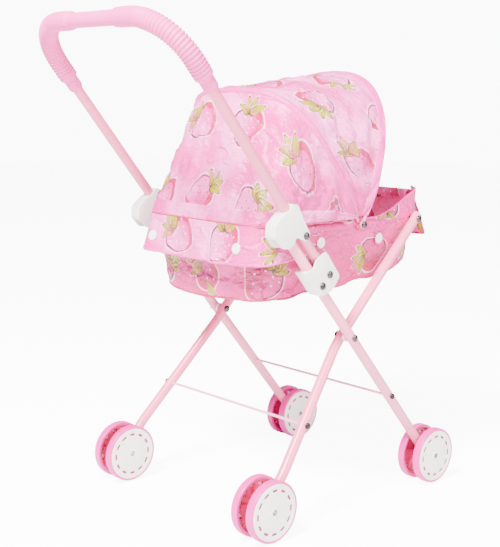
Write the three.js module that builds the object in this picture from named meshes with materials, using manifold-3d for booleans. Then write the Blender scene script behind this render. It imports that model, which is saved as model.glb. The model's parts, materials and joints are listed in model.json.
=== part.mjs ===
// Doll stroller on a folding X frame, with a soft carrycot and a folding canopy.
// Millimetres. +Z is up, the stroller drives towards -Y, and its left side is at +X.
// Both sides are alike, so each side's pieces are drawn once, for the left, and mirrored for the right.
// Places in a side view are [y, z]; an angle there is measured from +Y towards +Z, in degrees.

import * as THREE from "three";
import { mergeVertices } from "three/addons/utils/BufferGeometryUtils.js";
import Module from "manifold-3d";

const wasm = await Module();
wasm.setup();

// ---------------------------------------------------------------- driving dimensions

const GAP = 0.3; // between pieces that touch

const WHEEL_RADIUS = 35;
const WHEEL_SEGMENTS = 20;
const FRONT_AXLE = [-148, WHEEL_RADIUS];
const REAR_AXLE = [145, WHEEL_RADIUS];

const TUBE_RADIUS = 6;
const TUBE_WALL = 1;
const TUBE_SIDES = 12;

const CROSS = [1, 206.5]; // where the two legs of a side cross
const FRAME_X = 121.5; // mid-plane of the front leg and the handle
const REAR_LEG_X = 106; // mid-plane of the rear leg above the crossing
const REAR_WHEEL_X = 130;
const SPLAY = [18, 180]; // along the rear leg, from the crossing: where it starts to splay, and where it stops

const HANDLE_HINGE = [49, 287];
const HANDLE_ANGLE = 50;
const HANDLE_LENGTH = 360; // from the hinge to the middle of the grip's crossbar
const HANDLE_CORNER = 58;
const GRIP_START = 267; // along the handle, from the hinge
const SEAT_PIVOT_REACH = 61.3; // along the handle, from the hinge
const REAR_LEG_TOP = [-129, 338]; // pivot of the rear leg's top end on the seat rim
const CANOPY_PIVOT_Y = -33;

const FRONT_ROD_REACH = 109; // along each leg, from the crossing
const REAR_ROD_REACH = 119;
const ROD_RADIUS = 1.6;

const RIM_X = 92;
const RIM_RADIUS = 4.5;
const RIM_REAR_Y = 121;
const RIM_FRONT_Y = -149;
const RIM_FRONT_RISE = 26; // the front of the rim stands this much above its sides
const RIM_CORNER = 32;

const BOW_RADIUS = 2;
const FRONT_BOW = { tilt: 105.6, height: 188, halfWidth: 110, baseX: 104.7, fullness: 2.4 };
const MID_BOW = { tilt: 53.4, height: 193, halfWidth: 106, baseX: 99.4, fullness: 3.4 };
const BOW_FLARE = 45; // height over which a bow's leg widens to its full half width

const CANOPY_THICKNESS = 1.6;
const CANOPY_HEM_Z = 345;

const BASKET = { halfWidth: 96, top: 328, wall: 3, corner: 34 };

const BRACKET_HALF = 8.2; // half the width of the plastic brackets across the tubes

// ---------------------------------------------------------------- small geometry helpers

const radians = THREE.MathUtils.degToRad;

// A side-view point at a distance and an angle from another.
function reach([y, z], angle, distance) {
  return [y + distance * Math.cos(radians(angle)), z + distance * Math.sin(radians(angle))];
}

function angleBetween([y0, z0], [y1, z1]) {
  return THREE.MathUtils.radToDeg(Math.atan2(z1 - z0, y1 - y0));
}

function distanceBetween([y0, z0], [y1, z1]) {
  return Math.hypot(y1 - y0, z1 - z0);
}

function point(x, [y, z]) {
  return new THREE.Vector3(x, y, z);
}

function signedVolume(geometry) {
  const p = geometry.attributes.position;
  const index = geometry.index ? geometry.index.array : [...Array(p.count).keys()];
  const [a, b, c] = [new THREE.Vector3(), new THREE.Vector3(), new THREE.Vector3()];
  let six = 0;
  for (let i = 0; i < index.length; i += 3) {
    a.fromBufferAttribute(p, index[i]);
    b.fromBufferAttribute(p, index[i + 1]);
    c.fromBufferAttribute(p, index[i + 2]);
    six += a.dot(b.cross(c));
  }
  return six / 6;
}

// Only positions, with shared vertices merged and the faces turned outwards.
function closed(geometry) {
  const bare = new THREE.BufferGeometry();
  bare.setAttribute("position", geometry.attributes.position);
  bare.setIndex(geometry.index);
  const merged = mergeVertices(bare, 1e-4);
  if (signedVolume(merged) < 0) {
    merged.setIndex([...merged.index.array].reverse());
  }
  return merged;
}

function toSolid(geometry) {
  const merged = closed(geometry);
  return new wasm.Manifold(
    new wasm.Mesh({
      numProp: 3,
      vertProperties: new Float32Array(merged.attributes.position.array),
      triVerts: new Uint32Array(merged.index.array),
    }),
  );
}

function toGeometry(solid) {
  const mesh = solid.getMesh();
  const geometry = new THREE.BufferGeometry();
  geometry.setAttribute("position", new THREE.BufferAttribute(mesh.vertProperties, 3));
  geometry.setIndex(new THREE.BufferAttribute(mesh.triVerts, 1));
  return geometry;
}

function cut(geometry, ...tools) {
  return toGeometry(tools.reduce((solid, tool) => solid.subtract(toSolid(tool)), toSolid(geometry)));
}

function join(geometry, ...others) {
  return toGeometry(others.reduce((solid, other) => solid.add(toSolid(other)), toSolid(geometry)));
}

function common(geometry, other) {
  return toGeometry(toSolid(geometry).intersect(toSolid(other)));
}

// A profile of [radius, x] turned about the X axis, moved to a side-view point.
function turned(profile, [y, z], segments = TUBE_SIDES) {
  const lathe = new THREE.LatheGeometry(
    profile.map(([radius, x]) => new THREE.Vector2(radius, x)),
    segments,
  );
  return closed(lathe.rotateZ(-Math.PI / 2).translate(0, y, z));
}

function pin(x0, x1, centre, radius, segments = TUBE_SIDES) {
  const profile = [[0, x0], [radius, x0], [radius, x1], [0, x1]];
  return turned(profile, centre, segments);
}

function ring(x0, x1, centre, inner, outer) {
  const profile = [[inner, x0], [outer, x0], [outer, x1], [inner, x1], [inner, x0]];
  return turned(profile, centre);
}

// A shank from x0 to x1 with a domed head past each end.
function rivet(x0, x1, centre, { shank = 2, head = 4.2, dome = 2 } = {}) {
  const profile = [
    [0, x0 - dome],
    [0.7 * head, x0 - 0.7 * dome],
    [head, x0],
    [shank, x0],
    [shank, x1],
    [head, x1],
    [0.7 * head, x1 + 0.7 * dome],
    [0, x1 + dome],
  ];
  return turned(profile, centre, 10);
}

function circle(radius, sides) {
  const corners = [];
  for (let i = 0; i < sides; i++) {
    const angle = (2 * Math.PI * (i + 0.5)) / sides;
    corners.push(new THREE.Vector2(radius * Math.cos(angle), radius * Math.sin(angle)));
  }
  return corners;
}

// A round section carried through points; hollow where an inner radius is given.
function tube(points, radius, { inner = 0, sides = TUBE_SIDES, innerSides = 8 } = {}) {
  const section = new THREE.Shape(circle(radius, sides));
  if (inner > 0) {
    section.holes.push(new THREE.Path(circle(inner, innerSides).reverse()));
  }
  const options = { steps: points.length - 1, extrudePath: new Waypoints(points), bevelEnabled: false };
  return closed(new THREE.ExtrudeGeometry(section, options));
}

// A path through the given points and no others, mitred where it turns.
class Waypoints extends THREE.Curve {
  constructor(points) {
    super();
    this.points = points;
  }

  getPoint(t) {
    const last = this.points.length - 1;
    const place = Math.min(t, 1) * last;
    const i = Math.min(Math.floor(place), last - 1);
    return this.points[i].clone().lerp(this.points[i + 1], place - i);
  }

  getTangent(t) {
    const last = this.points.length - 1;
    const i = Math.round(t * last);
    const ahead = this.points[Math.min(i + 1, last)].clone().sub(this.points[Math.min(i, last - 1)]);
    const behind = this.points[Math.max(i, 1)].clone().sub(this.points[Math.max(i - 1, 0)]);
    return ahead.normalize().add(behind.normalize()).normalize();
  }

  getPointAt(u) {
    return this.getPoint(u);
  }

  getTangentAt(u) {
    return this.getTangent(u);
  }
}

// The points of a straight-sided path whose corners are rounded by the given tangent lengths.
function roundedPath(corners, trims, pieces = 4) {
  const points = [corners[0]];
  trims.forEach((trim, k) => {
    const corner = corners[k + 1];
    const before = corner.clone().add(corners[k].clone().sub(corner).setLength(trim));
    const after = corner.clone().add(corners[k + 2].clone().sub(corner).setLength(trim));
    points.push(...new THREE.QuadraticBezierCurve3(before, corner, after).getPoints(pieces));
  });
  return [...points, corners.at(-1)];
}

// A flat outline of [along, across] points, as thick as the given width across X and centred on x.
// "along" follows the angle in the side view, and "across" is 90 degrees clockwise from it.
function sidePlate(outline, origin, angle, x, thickness) {
  const shape = new THREE.Shape(outline.map(([along, across]) => new THREE.Vector2(along, across)));
  const plate = new THREE.ExtrudeGeometry(shape, { depth: thickness, bevelEnabled: false });
  const cosine = Math.cos(radians(angle));
  const sine = Math.sin(radians(angle));
  const basis = new THREE.Matrix4().makeBasis(
    new THREE.Vector3(0, cosine, sine),
    new THREE.Vector3(0, sine, -cosine),
    new THREE.Vector3(-1, 0, 0),
  );
  return closed(plate.applyMatrix4(basis).translate(x + thickness / 2, origin[0], origin[1]));
}

function rectangle(along0, along1, across0, across1) {
  return [[along0, across0], [along1, across0], [along1, across1], [along0, across1]];
}

// Corners of an outline replaced by short arcs.
function softened(outline, radius, pieces = 3) {
  const corners = [];
  outline.forEach((corner, i) => {
    const here = new THREE.Vector2(...corner);
    const before = new THREE.Vector2(...outline.at(i - 1));
    const after = new THREE.Vector2(...outline[(i + 1) % outline.length]);
    const start = here.clone().add(before.sub(here).setLength(radius));
    const end = here.clone().add(after.sub(here).setLength(radius));
    const arc = new THREE.QuadraticBezierCurve(start, here, end);
    arc.getPoints(pieces).forEach((p) => corners.push([p.x, p.y]));
  });
  return corners;
}

// A grid of points given a thickness along its outward normals and closed round its edges.
function sheet(grid, thickness) {
  const rows = grid.length;
  const columns = grid[0].length;
  const positions = [];
  const normalAt = (i, j) => {
    const along = grid[Math.min(i + 1, rows - 1)][j].clone().sub(grid[Math.max(i - 1, 0)][j]);
    const across = grid[i][Math.min(j + 1, columns - 1)].clone().sub(grid[i][Math.max(j - 1, 0)]);
    return across.cross(along).normalize();
  };
  for (const offset of [0, thickness]) {
    for (let i = 0; i < rows; i++) {
      for (let j = 0; j < columns; j++) {
        const p = grid[i][j].clone().addScaledVector(normalAt(i, j), offset);
        positions.push(p.x, p.y, p.z);
      }
    }
  }
  const index = [];
  const under = (i, j) => i * columns + j;
  const over = (i, j) => rows * columns + under(i, j);
  const quad = (a, b, c, d) => index.push(a, b, c, a, c, d);
  for (let i = 0; i < rows - 1; i++) {
    for (let j = 0; j < columns - 1; j++) {
      quad(under(i, j), under(i, j + 1), under(i + 1, j + 1), under(i + 1, j));
      quad(over(i, j), over(i + 1, j), over(i + 1, j + 1), over(i, j + 1));
    }
    quad(under(i, 0), under(i + 1, 0), over(i + 1, 0), over(i, 0));
    quad(under(i + 1, columns - 1), under(i, columns - 1), over(i, columns - 1), over(i + 1, columns - 1));
  }
  for (let j = 0; j < columns - 1; j++) {
    quad(under(0, j + 1), under(0, j), over(0, j), over(0, j + 1));
    quad(under(rows - 1, j), under(rows - 1, j + 1), over(rows - 1, j + 1), over(rows - 1, j));
  }
  const geometry = new THREE.BufferGeometry();
  geometry.setAttribute("position", new THREE.Float32BufferAttribute(positions, 3));
  geometry.setIndex(index);
  return closed(geometry);
}

// ---------------------------------------------------------------- materials

function material(color, roughness, metalness = 0) {
  return new THREE.MeshStandardMaterial({ color, roughness, metalness });
}

const PINK_PAINT = material(0xf7c1cf, 0.35, 0.2);
const PINK_SLEEVE = material(0xf7b3cc, 0.7);
const PINK_PLASTIC = material(0xf592bd, 0.4);
const WHITE_PLASTIC = material(0xf1f0ec, 0.4);
const STEEL = material(0x6d6a6c, 0.3, 0.9);
const FABRIC = material(0xf8bfdc, 0.8);
const LINING = material(0xf07fb0, 0.8);

// ---------------------------------------------------------------- side-view layout

const FRONT_LEG_ANGLE = angleBetween(FRONT_AXLE, CROSS);
const REAR_LEG_ANGLE = angleBetween(CROSS, REAR_AXLE);
const REAR_LEG_UPPER_ANGLE = angleBetween(CROSS, REAR_LEG_TOP);
const SEAT_PIVOT = reach(HANDLE_HINGE, HANDLE_ANGLE, SEAT_PIVOT_REACH);
const BRACKET_RIVET = reach(CROSS, FRONT_LEG_ANGLE, 90.5);
const FRONT_ROD = reach(CROSS, FRONT_LEG_ANGLE + 180, FRONT_ROD_REACH);
const REAR_ROD = reach(CROSS, REAR_LEG_ANGLE, REAR_ROD_REACH);
const AXLE_HOLE = 2.8;
const RIVET_HOLE = 2.3;
const LEG_END = 9; // a leg runs this far past its axle or pivot

// The rim's sides run straight from the seat pivot to the rear leg's top pivot.
function rimZ(y) {
  const share = (SEAT_PIVOT[0] - y) / (SEAT_PIVOT[0] - REAR_LEG_TOP[0]);
  return THREE.MathUtils.lerp(SEAT_PIVOT[1], REAR_LEG_TOP[1], share);
}

const CANOPY_PIVOT = [CANOPY_PIVOT_Y, rimZ(CANOPY_PIVOT_Y)];

function rearLegX(distance) {
  const share = THREE.MathUtils.clamp((distance - SPLAY[0]) / (SPLAY[1] - SPLAY[0]), 0, 1);
  return THREE.MathUtils.lerp(REAR_LEG_X, REAR_WHEEL_X, share);
}

// ---------------------------------------------------------------- wheels

// One wheel of a twin pair. "face" is +1 where its covered face looks away from the stroller.
function wheelDisc(axle, x, face) {
  const profile = [
    [AXLE_HOLE, 7],
    [6.5, 7],
    [6.5, 12],
    [30.5, 12],
    [31, 7.2],
    [34.2, 7.2],
    [WHEEL_RADIUS, 8.2],
    [WHEEL_RADIUS, 15.8],
    [34.2, 16.8],
    [31.6, 16.8],
    [31.6, 14.4],
    [AXLE_HOLE, 14.4],
    [AXLE_HOLE, 7],
  ];
  const disc = turned(profile, [0, 0], WHEEL_SEGMENTS);
  return closed(disc.scale(face, 1, 1).translate(x, axle[0], axle[1]));
}

// The cover on a wheel's outer face: twelve slots and a small boss round the axle's end.
function wheelCover(axle, x, face) {
  const profile = [
    [3.2, 14.7],
    [31.2, 14.7],
    [31.2, 16.6],
    [7, 16.6],
    [6, 17.6],
    [3.2, 17.6],
    [3.2, 14.7],
  ];
  const slotCount = 12;
  const slots = [];
  for (let i = 0; i < slotCount; i++) {
    const slot = new THREE.BoxGeometry(6, 2, 5);
    slots.push(slot.translate(16, 24.8, 0).rotateX((2 * Math.PI * i) / slotCount));
  }
  const cover = cut(turned(profile, [0, 0], WHEEL_SEGMENTS), ...slots);
  return closed(cover.scale(face, 1, 1).translate(x, axle[0], axle[1]));
}

function wheelPieces(name, axle, x) {
  return [
    [name + "_outer", wheelDisc(axle, x, 1), PINK_PLASTIC],
    [name + "_inner", wheelDisc(axle, x, -1), PINK_PLASTIC],
    [name + "_outer_cover", wheelCover(axle, x, 1), WHITE_PLASTIC],
    [name + "_inner_cover", wheelCover(axle, x, -1), WHITE_PLASTIC],
    [name + "_axle", pin(x - 17.4, x + 17.4, axle, 2.5), STEEL],
  ];
}

// ---------------------------------------------------------------- legs, brackets and rivets of one side

function frontLeg() {
  const length = 177;
  const top = point(FRAME_X, reach(CROSS, FRONT_LEG_ANGLE, length));
  const bottom = point(FRAME_X, reach(FRONT_AXLE, FRONT_LEG_ANGLE + 180, LEG_END));
  const leg = tube([bottom, top], TUBE_RADIUS, { inner: TUBE_RADIUS - TUBE_WALL });
  const [low, high] = [FRAME_X - 10, FRAME_X + 10];
  return cut(
    leg,
    pin(low, high, FRONT_AXLE, AXLE_HOLE),
    pin(low, high, FRONT_ROD, ROD_RADIUS + GAP, 8),
    pin(low, high, CROSS, RIVET_HOLE + GAP, 8),
    pin(low, high, BRACKET_RIVET, RIVET_HOLE, 8),
  );
}

function rearLeg() {
  const length = distanceBetween(CROSS, REAR_AXLE);
  const corners = [
    point(REAR_LEG_X, reach(REAR_LEG_TOP, REAR_LEG_UPPER_ANGLE, LEG_END)),
    point(REAR_LEG_X, CROSS),
    point(REAR_LEG_X, reach(CROSS, REAR_LEG_ANGLE, SPLAY[0])),
    point(REAR_WHEEL_X, reach(CROSS, REAR_LEG_ANGLE, SPLAY[1])),
    point(REAR_WHEEL_X, reach(CROSS, REAR_LEG_ANGLE, length + LEG_END)),
  ];
  const leg = tube(roundedPath(corners, [9, 6, 8], 2), TUBE_RADIUS, { inner: TUBE_RADIUS - TUBE_WALL });
  return cut(
    leg,
    pin(REAR_LEG_X - 10, REAR_LEG_X + 10, REAR_LEG_TOP, RIVET_HOLE, 8),
    pin(REAR_LEG_X - 10, REAR_LEG_X + 10, CROSS, RIVET_HOLE + GAP, 8),
    pin(rearLegX(REAR_ROD_REACH) - 12, rearLegX(REAR_ROD_REACH) + 12, REAR_ROD, ROD_RADIUS + GAP, 8),
    pin(REAR_WHEEL_X - 10, REAR_WHEEL_X + 10, REAR_AXLE, AXLE_HOLE),
  );
}

// Channel on the front leg that carries the handle's hinge: closed under the leg, open above it.
function hingeBracket() {
  const outline = softened(
    [[27, -29], [-12, -27.5], [-15.5, -7.5], [-7, 10.6], [33, 10.6], [25, -2], [31, -12]],
    4.5,
    2,
  );
  const body = sidePlate(outline, BRACKET_RIVET, FRONT_LEG_ANGLE, FRAME_X, 2 * BRACKET_HALF);
  const between = 2 * (TUBE_RADIUS + GAP);
  const channel = sidePlate(rectangle(-30, 50, -40, 0), BRACKET_RIVET, FRONT_LEG_ANGLE, FRAME_X, between);
  const away = point(FRAME_X, reach(BRACKET_RIVET, FRONT_LEG_ANGLE, 60));
  const behind = point(FRAME_X, reach(BRACKET_RIVET, FRONT_LEG_ANGLE, -60));
  const legBore = tube([behind, away], TUBE_RADIUS + GAP);
  const [low, high] = [FRAME_X - 10, FRAME_X + 10];
  return cut(
    body,
    channel,
    legBore,
    pin(low, high, BRACKET_RIVET, RIVET_HOLE, 8),
    pin(low, high, HANDLE_HINGE, RIVET_HOLE, 8),
  );
}

// Snap clip on the handle: a sleeve on the handle's tube, open where the front leg's top end snaps in,
// with a thumb tab past that end.
function lockClip() {
  const outline = softened(
    [
      [-4.5, -5.5], [14, -8], [36, -12], [43, -6], [39, 1], [41.5, 9], [41, 27],
      [31, 36], [14, 35], [6, 27], [6, 17], [10, 13], [4, 8.5], [-4.5, 4.5],
    ],
    2.6,
    2,
  );
  const body = sidePlate(outline, SEAT_PIVOT, HANDLE_ANGLE, FRAME_X, 2 * BRACKET_HALF);
  const between = 2 * (TUBE_RADIUS + GAP);
  const pocket = sidePlate(rectangle(-30, 27, 0, 50), SEAT_PIVOT, HANDLE_ANGLE, FRAME_X, between);
  const from = point(FRAME_X, reach(SEAT_PIVOT, HANDLE_ANGLE, -30));
  const to = point(FRAME_X, reach(SEAT_PIVOT, HANDLE_ANGLE, 70));
  const handleBore = tube([from, to], TUBE_RADIUS + GAP);
  const rivetHole = pin(FRAME_X - 10, FRAME_X + 10, SEAT_PIVOT, RIVET_HOLE, 8);
  return cut(body, pocket, handleBore, rivetHole);
}

function sideRivets() {
  const outside = FRAME_X + BRACKET_HALF + GAP;
  const inside = FRAME_X - BRACKET_HALF - GAP;
  const rimInside = RIM_X - RIM_RADIUS - GAP;
  return [
    ["bracket_rivet", rivet(inside, outside, BRACKET_RIVET), STEEL],
    ["hinge_rivet", rivet(inside, outside, HANDLE_HINGE), STEEL],
    ["cross_rivet", rivet(REAR_LEG_X - TUBE_RADIUS - GAP, FRAME_X + TUBE_RADIUS + GAP, CROSS), STEEL],
    ["seat_rivet", rivet(rimInside, outside, SEAT_PIVOT), STEEL],
    ["leg_top_rivet", legTopRivet(), STEEL],
    ["canopy_rivet", rivet(rimInside, FRONT_BOW.baseX + 2 + GAP, CANOPY_PIVOT), STEEL],
  ];
}

// The rear leg's top rivet ends clear of the seat rim: the linkage is open at this pivot.
function legTopRivet() {
  const outer = REAR_LEG_X + TUBE_RADIUS + GAP;
  const inner = REAR_LEG_X - TUBE_RADIUS - 2.5;
  const profile = [
    [0, inner],
    [2, inner],
    [2, outer],
    [4.2, outer],
    [3, outer + 1.4],
    [0, outer + 2],
  ];
  return turned(profile, REAR_LEG_TOP, 10);
}

function crossSpacer() {
  const gapStart = REAR_LEG_X + TUBE_RADIUS + GAP;
  const gapEnd = FRAME_X - TUBE_RADIUS - GAP;
  return ring(gapStart, gapEnd, CROSS, 2.6, 6);
}

function sideSnap(y, z) {
  const base = BASKET.halfWidth + GAP;
  const profile = [[0, base], [6, base], [6, base + 1], [4.6, base + 2.2], [0, base + 2.4]];
  return turned(profile, [y, z], 12);
}

function sidePieces() {
  return [
    ["front_leg", frontLeg(), PINK_PAINT],
    ["rear_leg", rearLeg(), PINK_PAINT],
    ["hinge_bracket", hingeBracket(), WHITE_PLASTIC],
    ["lock_clip", lockClip(), WHITE_PLASTIC],
    ["cross_spacer", crossSpacer(), WHITE_PLASTIC],
    ...sideRivets(),
    ["snap_rear", sideSnap(32, 319), WHITE_PLASTIC],
    ["snap_front", sideSnap(-70, 317), WHITE_PLASTIC],
    ...wheelPieces("front_wheel", FRONT_AXLE, FRAME_X),
    ...wheelPieces("rear_wheel", REAR_AXLE, REAR_WHEEL_X),
  ];
}

// ---------------------------------------------------------------- handle

// The handle's centreline, from the left arm's start up, round the grip and down to the right arm's start.
// "start" is a distance along the arm from the hinge.
function handlePath(start) {
  const quarterPieces = 6;
  const half = [point(FRAME_X, reach(HANDLE_HINGE, HANDLE_ANGLE, start))];
  for (let i = 0; i <= quarterPieces; i++) {
    const turn = ((Math.PI / 2) * i) / quarterPieces;
    const x = FRAME_X - HANDLE_CORNER * (1 - Math.cos(turn));
    const along = HANDLE_LENGTH - HANDLE_CORNER * (1 - Math.sin(turn));
    half.push(point(x, reach(HANDLE_HINGE, HANDLE_ANGLE, along)));
  }
  const mirrored = half.map((p) => new THREE.Vector3(-p.x, p.y, p.z)).reverse();
  return [...half, ...mirrored];
}

function handleTube() {
  const bent = tube(handlePath(-7), TUBE_RADIUS, { inner: TUBE_RADIUS - TUBE_WALL });
  const bores = [HANDLE_HINGE, SEAT_PIVOT].flatMap((pivot) =>
    [-1, 1].map((side) => pin(side * FRAME_X - 10, side * FRAME_X + 10, pivot, RIVET_HOLE, 8)),
  );
  return cut(bent, ...bores);
}

function handleGrip() {
  return tube(handlePath(GRIP_START), 10.5, { inner: TUBE_RADIUS + 0.8 });
}

// ---------------------------------------------------------------- cross rods

// A rod through both legs, its ends peened over.
function crossRod(x, place) {
  const bar = pin(-x, x, place, ROD_RADIUS, 8);
  const heads = [pin(x - 0.1, x + 2, place, 3.4, 8), pin(-x - 2, -x + 0.1, place, 3.4, 8)];
  return join(bar, ...heads);
}

// ---------------------------------------------------------------- seat rim

// A closed loop: straight sides, rounded rear corners, and a front that rises to a bar.
function seatRim() {
  const frontZ = rimZ(REAR_LEG_TOP[0]) + RIM_FRONT_RISE;
  const sideFront = REAR_LEG_TOP[0] + 4;
  const frontInset = 14;
  const half = [
    new THREE.Vector3(0, RIM_REAR_Y, rimZ(RIM_REAR_Y)),
    new THREE.Vector3(RIM_X, RIM_REAR_Y, rimZ(RIM_REAR_Y)),
    new THREE.Vector3(RIM_X, sideFront, rimZ(sideFront)),
    new THREE.Vector3(RIM_X - frontInset, RIM_FRONT_Y, frontZ),
    new THREE.Vector3(0, RIM_FRONT_Y, frontZ),
  ];
  const left = tube(roundedPath(half, [RIM_CORNER, 14, 16]), RIM_RADIUS, { sides: 8 });
  const right = closed(left.clone().scale(-1, 1, 1));
  const bores = [SEAT_PIVOT, CANOPY_PIVOT].flatMap((pivot) =>
    [-1, 1].map((side) => pin(side * RIM_X - 8, side * RIM_X + 8, pivot, RIVET_HOLE, 8)),
  );
  const seam = (y, z) => pin(-0.5, 0.5, [y, z], RIM_RADIUS - 0.2, 8);
  return cut(join(left, right, seam(RIM_REAR_Y, rimZ(RIM_REAR_Y)), seam(RIM_FRONT_Y, frontZ)), ...bores);
}

// ---------------------------------------------------------------- canopy bows

// A point of a bow. "turn" runs from 0 at the right pivot to 1 at the left one.
function bowPoint(bow, turn, grow = 0, base = 0) {
  const side = turn < 0.5 ? -1 : 1;
  const fromBase = 1 - Math.abs(2 * turn - 1);
  const flareShare = 0.2;
  let x;
  let rise;
  if (fromBase < flareShare) {
    const share = fromBase / flareShare;
    rise = THREE.MathUtils.lerp(base, BOW_FLARE, share);
    x = THREE.MathUtils.lerp(bow.baseX, bow.halfWidth, THREE.MathUtils.smoothstep(rise, 0, BOW_FLARE)) + grow;
  } else {
    const angle = ((fromBase - flareShare) / (1 - flareShare)) * (Math.PI / 2);
    const power = 2 / bow.fullness;
    x = (bow.halfWidth + grow) * Math.cos(angle) ** power;
    rise = BOW_FLARE + (bow.height + grow - BOW_FLARE) * Math.sin(angle) ** power;
  }
  return point(side * x, reach(CANOPY_PIVOT, bow.tilt, rise));
}

function canopyBow(bow) {
  const points = [];
  const count = 24;
  for (let i = 0; i <= count; i++) {
    points.push(bowPoint(bow, i / count));
  }
  const wire = tube(points, BOW_RADIUS, { sides: 8 });
  const eyes = [-1, 1].map((side) => pin(side * bow.baseX - 1.5, side * bow.baseX + 1.5, CANOPY_PIVOT, 5));
  const bores = [-1, 1].map((side) => pin(side * bow.baseX - 6, side * bow.baseX + 6, CANOPY_PIVOT, RIVET_HOLE, 8));
  return cut(join(wire, ...eyes), ...bores);
}

// ---------------------------------------------------------------- soft pieces

// The hem round the back of the seat: from one side, round the rear corners, to the other side.
function hemPoint(turn, { halfWidth, rearY, frontY, corner, z }) {
  const side = turn < 0.5 ? -1 : 1;
  const sideLength = rearY - corner - frontY;
  const arcLength = (Math.PI / 2) * corner;
  const backLength = halfWidth - corner;
  const length = (1 - Math.abs(2 * turn - 1)) * (sideLength + arcLength + backLength);
  if (length < sideLength) {
    return new THREE.Vector3(side * halfWidth, frontY + length, z);
  }
  if (length < sideLength + arcLength) {
    const angle = (length - sideLength) / corner;
    const x = halfWidth - corner + corner * Math.cos(angle);
    return new THREE.Vector3(side * x, rearY - corner + corner * Math.sin(angle), z);
  }
  return new THREE.Vector3(side * (halfWidth - corner - (length - sideLength - arcLength)), rearY, z);
}

// A panel of the canopy: a sheet stretched between two rows of points, clear of the next panel's seam.
function canopyPanel(rows) {
  const grid = [];
  rows.slice(1).forEach((to, k) => {
    const pieces = k === 0 && rows.length > 2 ? 1 : 3;
    for (let i = 0; i < pieces; i++) {
      grid.push(rows[k].map((p, j) => p.clone().lerp(to[j], i / pieces)));
    }
  });
  grid.push(rows.at(-1));
  return sheet(grid, CANOPY_THICKNESS);
}

function canopyPanels() {
  const grow = BOW_RADIUS + 1;
  const base = 14;
  const seam = 1.8; // left open on each side of the middle bow's seam
  const columns = 24;
  const hem = { halfWidth: 104, rearY: 129, frontY: -8, corner: 30, z: CANOPY_HEM_Z };
  const lip = { ...FRONT_BOW, tilt: FRONT_BOW.tilt + 2 };
  const section = (place) => Array.from({ length: columns + 1 }, (_, j) => place(j / columns));
  const inset = (from, to) => from.map((p, j) => p.clone().add(to[j].clone().sub(p).setLength(seam)));
  const lipRow = section((turn) => bowPoint(lip, turn, grow, base));
  const frontRow = section((turn) => bowPoint(FRONT_BOW, turn, grow, base));
  const midRow = section((turn) => bowPoint(MID_BOW, turn, grow, base));
  const hemRow = section((turn) => hemPoint(turn, hem));
  return {
    front: canopyPanel([lipRow, frontRow, inset(midRow, frontRow)]),
    rear: canopyPanel([inset(midRow, hemRow), hemRow]),
  };
}

// The flap that hangs from the canopy's hem over the back of the basket.
function rearFlap() {
  const path = { halfWidth: 100.5, rearY: 131, frontY: 96, corner: 32 };
  const rows = [341, 320, 299].map((z, k) =>
    Array.from({ length: 17 }, (_, j) => hemPoint(j / 16, { ...path, z: z + (k === 2 ? 6 * Math.abs(j / 8 - 1) ** 3 : 0) })),
  );
  return sheet(rows, 2);
}

// The carrycot's fabric tub, open at the top, higher at the front.
function basket() {
  const { halfWidth, top, wall, corner } = BASKET;
  const profileShape = (inset) => [
    [124 - inset, top + (inset ? 60 : 0)],
    [117 - inset, 252 + inset],
    [-134 + inset, 278 + inset],
    [-151 + inset, top + (inset ? 60 : 0)],
  ];
  const tub = (inset) => {
    const shape = new THREE.Shape(profileShape(inset).map(([y, z]) => new THREE.Vector2(y, z)));
    const prism = new THREE.ExtrudeGeometry(shape, { depth: 2 * (halfWidth - inset), bevelEnabled: false });
    const across = new THREE.Matrix4().makeBasis(
      new THREE.Vector3(0, 1, 0),
      new THREE.Vector3(0, 0, 1),
      new THREE.Vector3(1, 0, 0),
    );
    const side = prism.applyMatrix4(across).translate(-(halfWidth - inset), 0, 0);
    const planOutline = softened(
      [
        [-halfWidth + inset, -152 + inset],
        [halfWidth - inset, -152 + inset],
        [halfWidth - inset, 125 - inset],
        [-halfWidth + inset, 125 - inset],
      ],
      corner,
      5,
    );
    const plan = new THREE.Shape(planOutline.map(([x, y]) => new THREE.Vector2(x, y)));
    const column = new THREE.ExtrudeGeometry(plan, { depth: 300, bevelEnabled: false }).translate(0, 0, 200);
    return common(side, column);
  };
  const frontPanel = new THREE.BoxGeometry(124, wall, 31).translate(0, -149.3, top + 12);
  return join(cut(tub(0), tub(wall)), frontPanel);
}

// ---------------------------------------------------------------- assembly

function place(group, name, geometry, look) {
  const mesh = new THREE.Mesh(geometry, look);
  mesh.name = name;
  group.add(mesh);
}

const stroller = new THREE.Group();

const SIDES = [["left", 1], ["right", -1]];
for (const [side, mirror] of SIDES) {
  const group = new THREE.Group();
  group.scale.x = mirror;
  for (const [name, geometry, look] of sidePieces()) {
    place(group, name + "_" + side, geometry, look);
  }
  stroller.add(group);
}

const FRONT_ROD_X = FRAME_X + TUBE_RADIUS + GAP;
const REAR_ROD_X = rearLegX(REAR_ROD_REACH) + TUBE_RADIUS + 1;
place(stroller, "front_cross_rod", crossRod(FRONT_ROD_X, FRONT_ROD), PINK_PAINT);
place(stroller, "rear_cross_rod", crossRod(REAR_ROD_X, REAR_ROD), PINK_PAINT);
place(stroller, "handle_tube", handleTube(), PINK_PAINT);
place(stroller, "handle_grip", handleGrip(), PINK_SLEEVE);
place(stroller, "seat_rim", seatRim(), PINK_PAINT);
place(stroller, "canopy_front_bow", canopyBow(FRONT_BOW), PINK_PAINT);
place(stroller, "canopy_mid_bow", canopyBow(MID_BOW), PINK_PAINT);
const canopy = canopyPanels();
place(stroller, "canopy_front_panel", canopy.front, FABRIC);
place(stroller, "canopy_rear_panel", canopy.rear, FABRIC);
place(stroller, "rear_flap", rearFlap(), FABRIC);
place(stroller, "basket", basket(), LINING);

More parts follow.
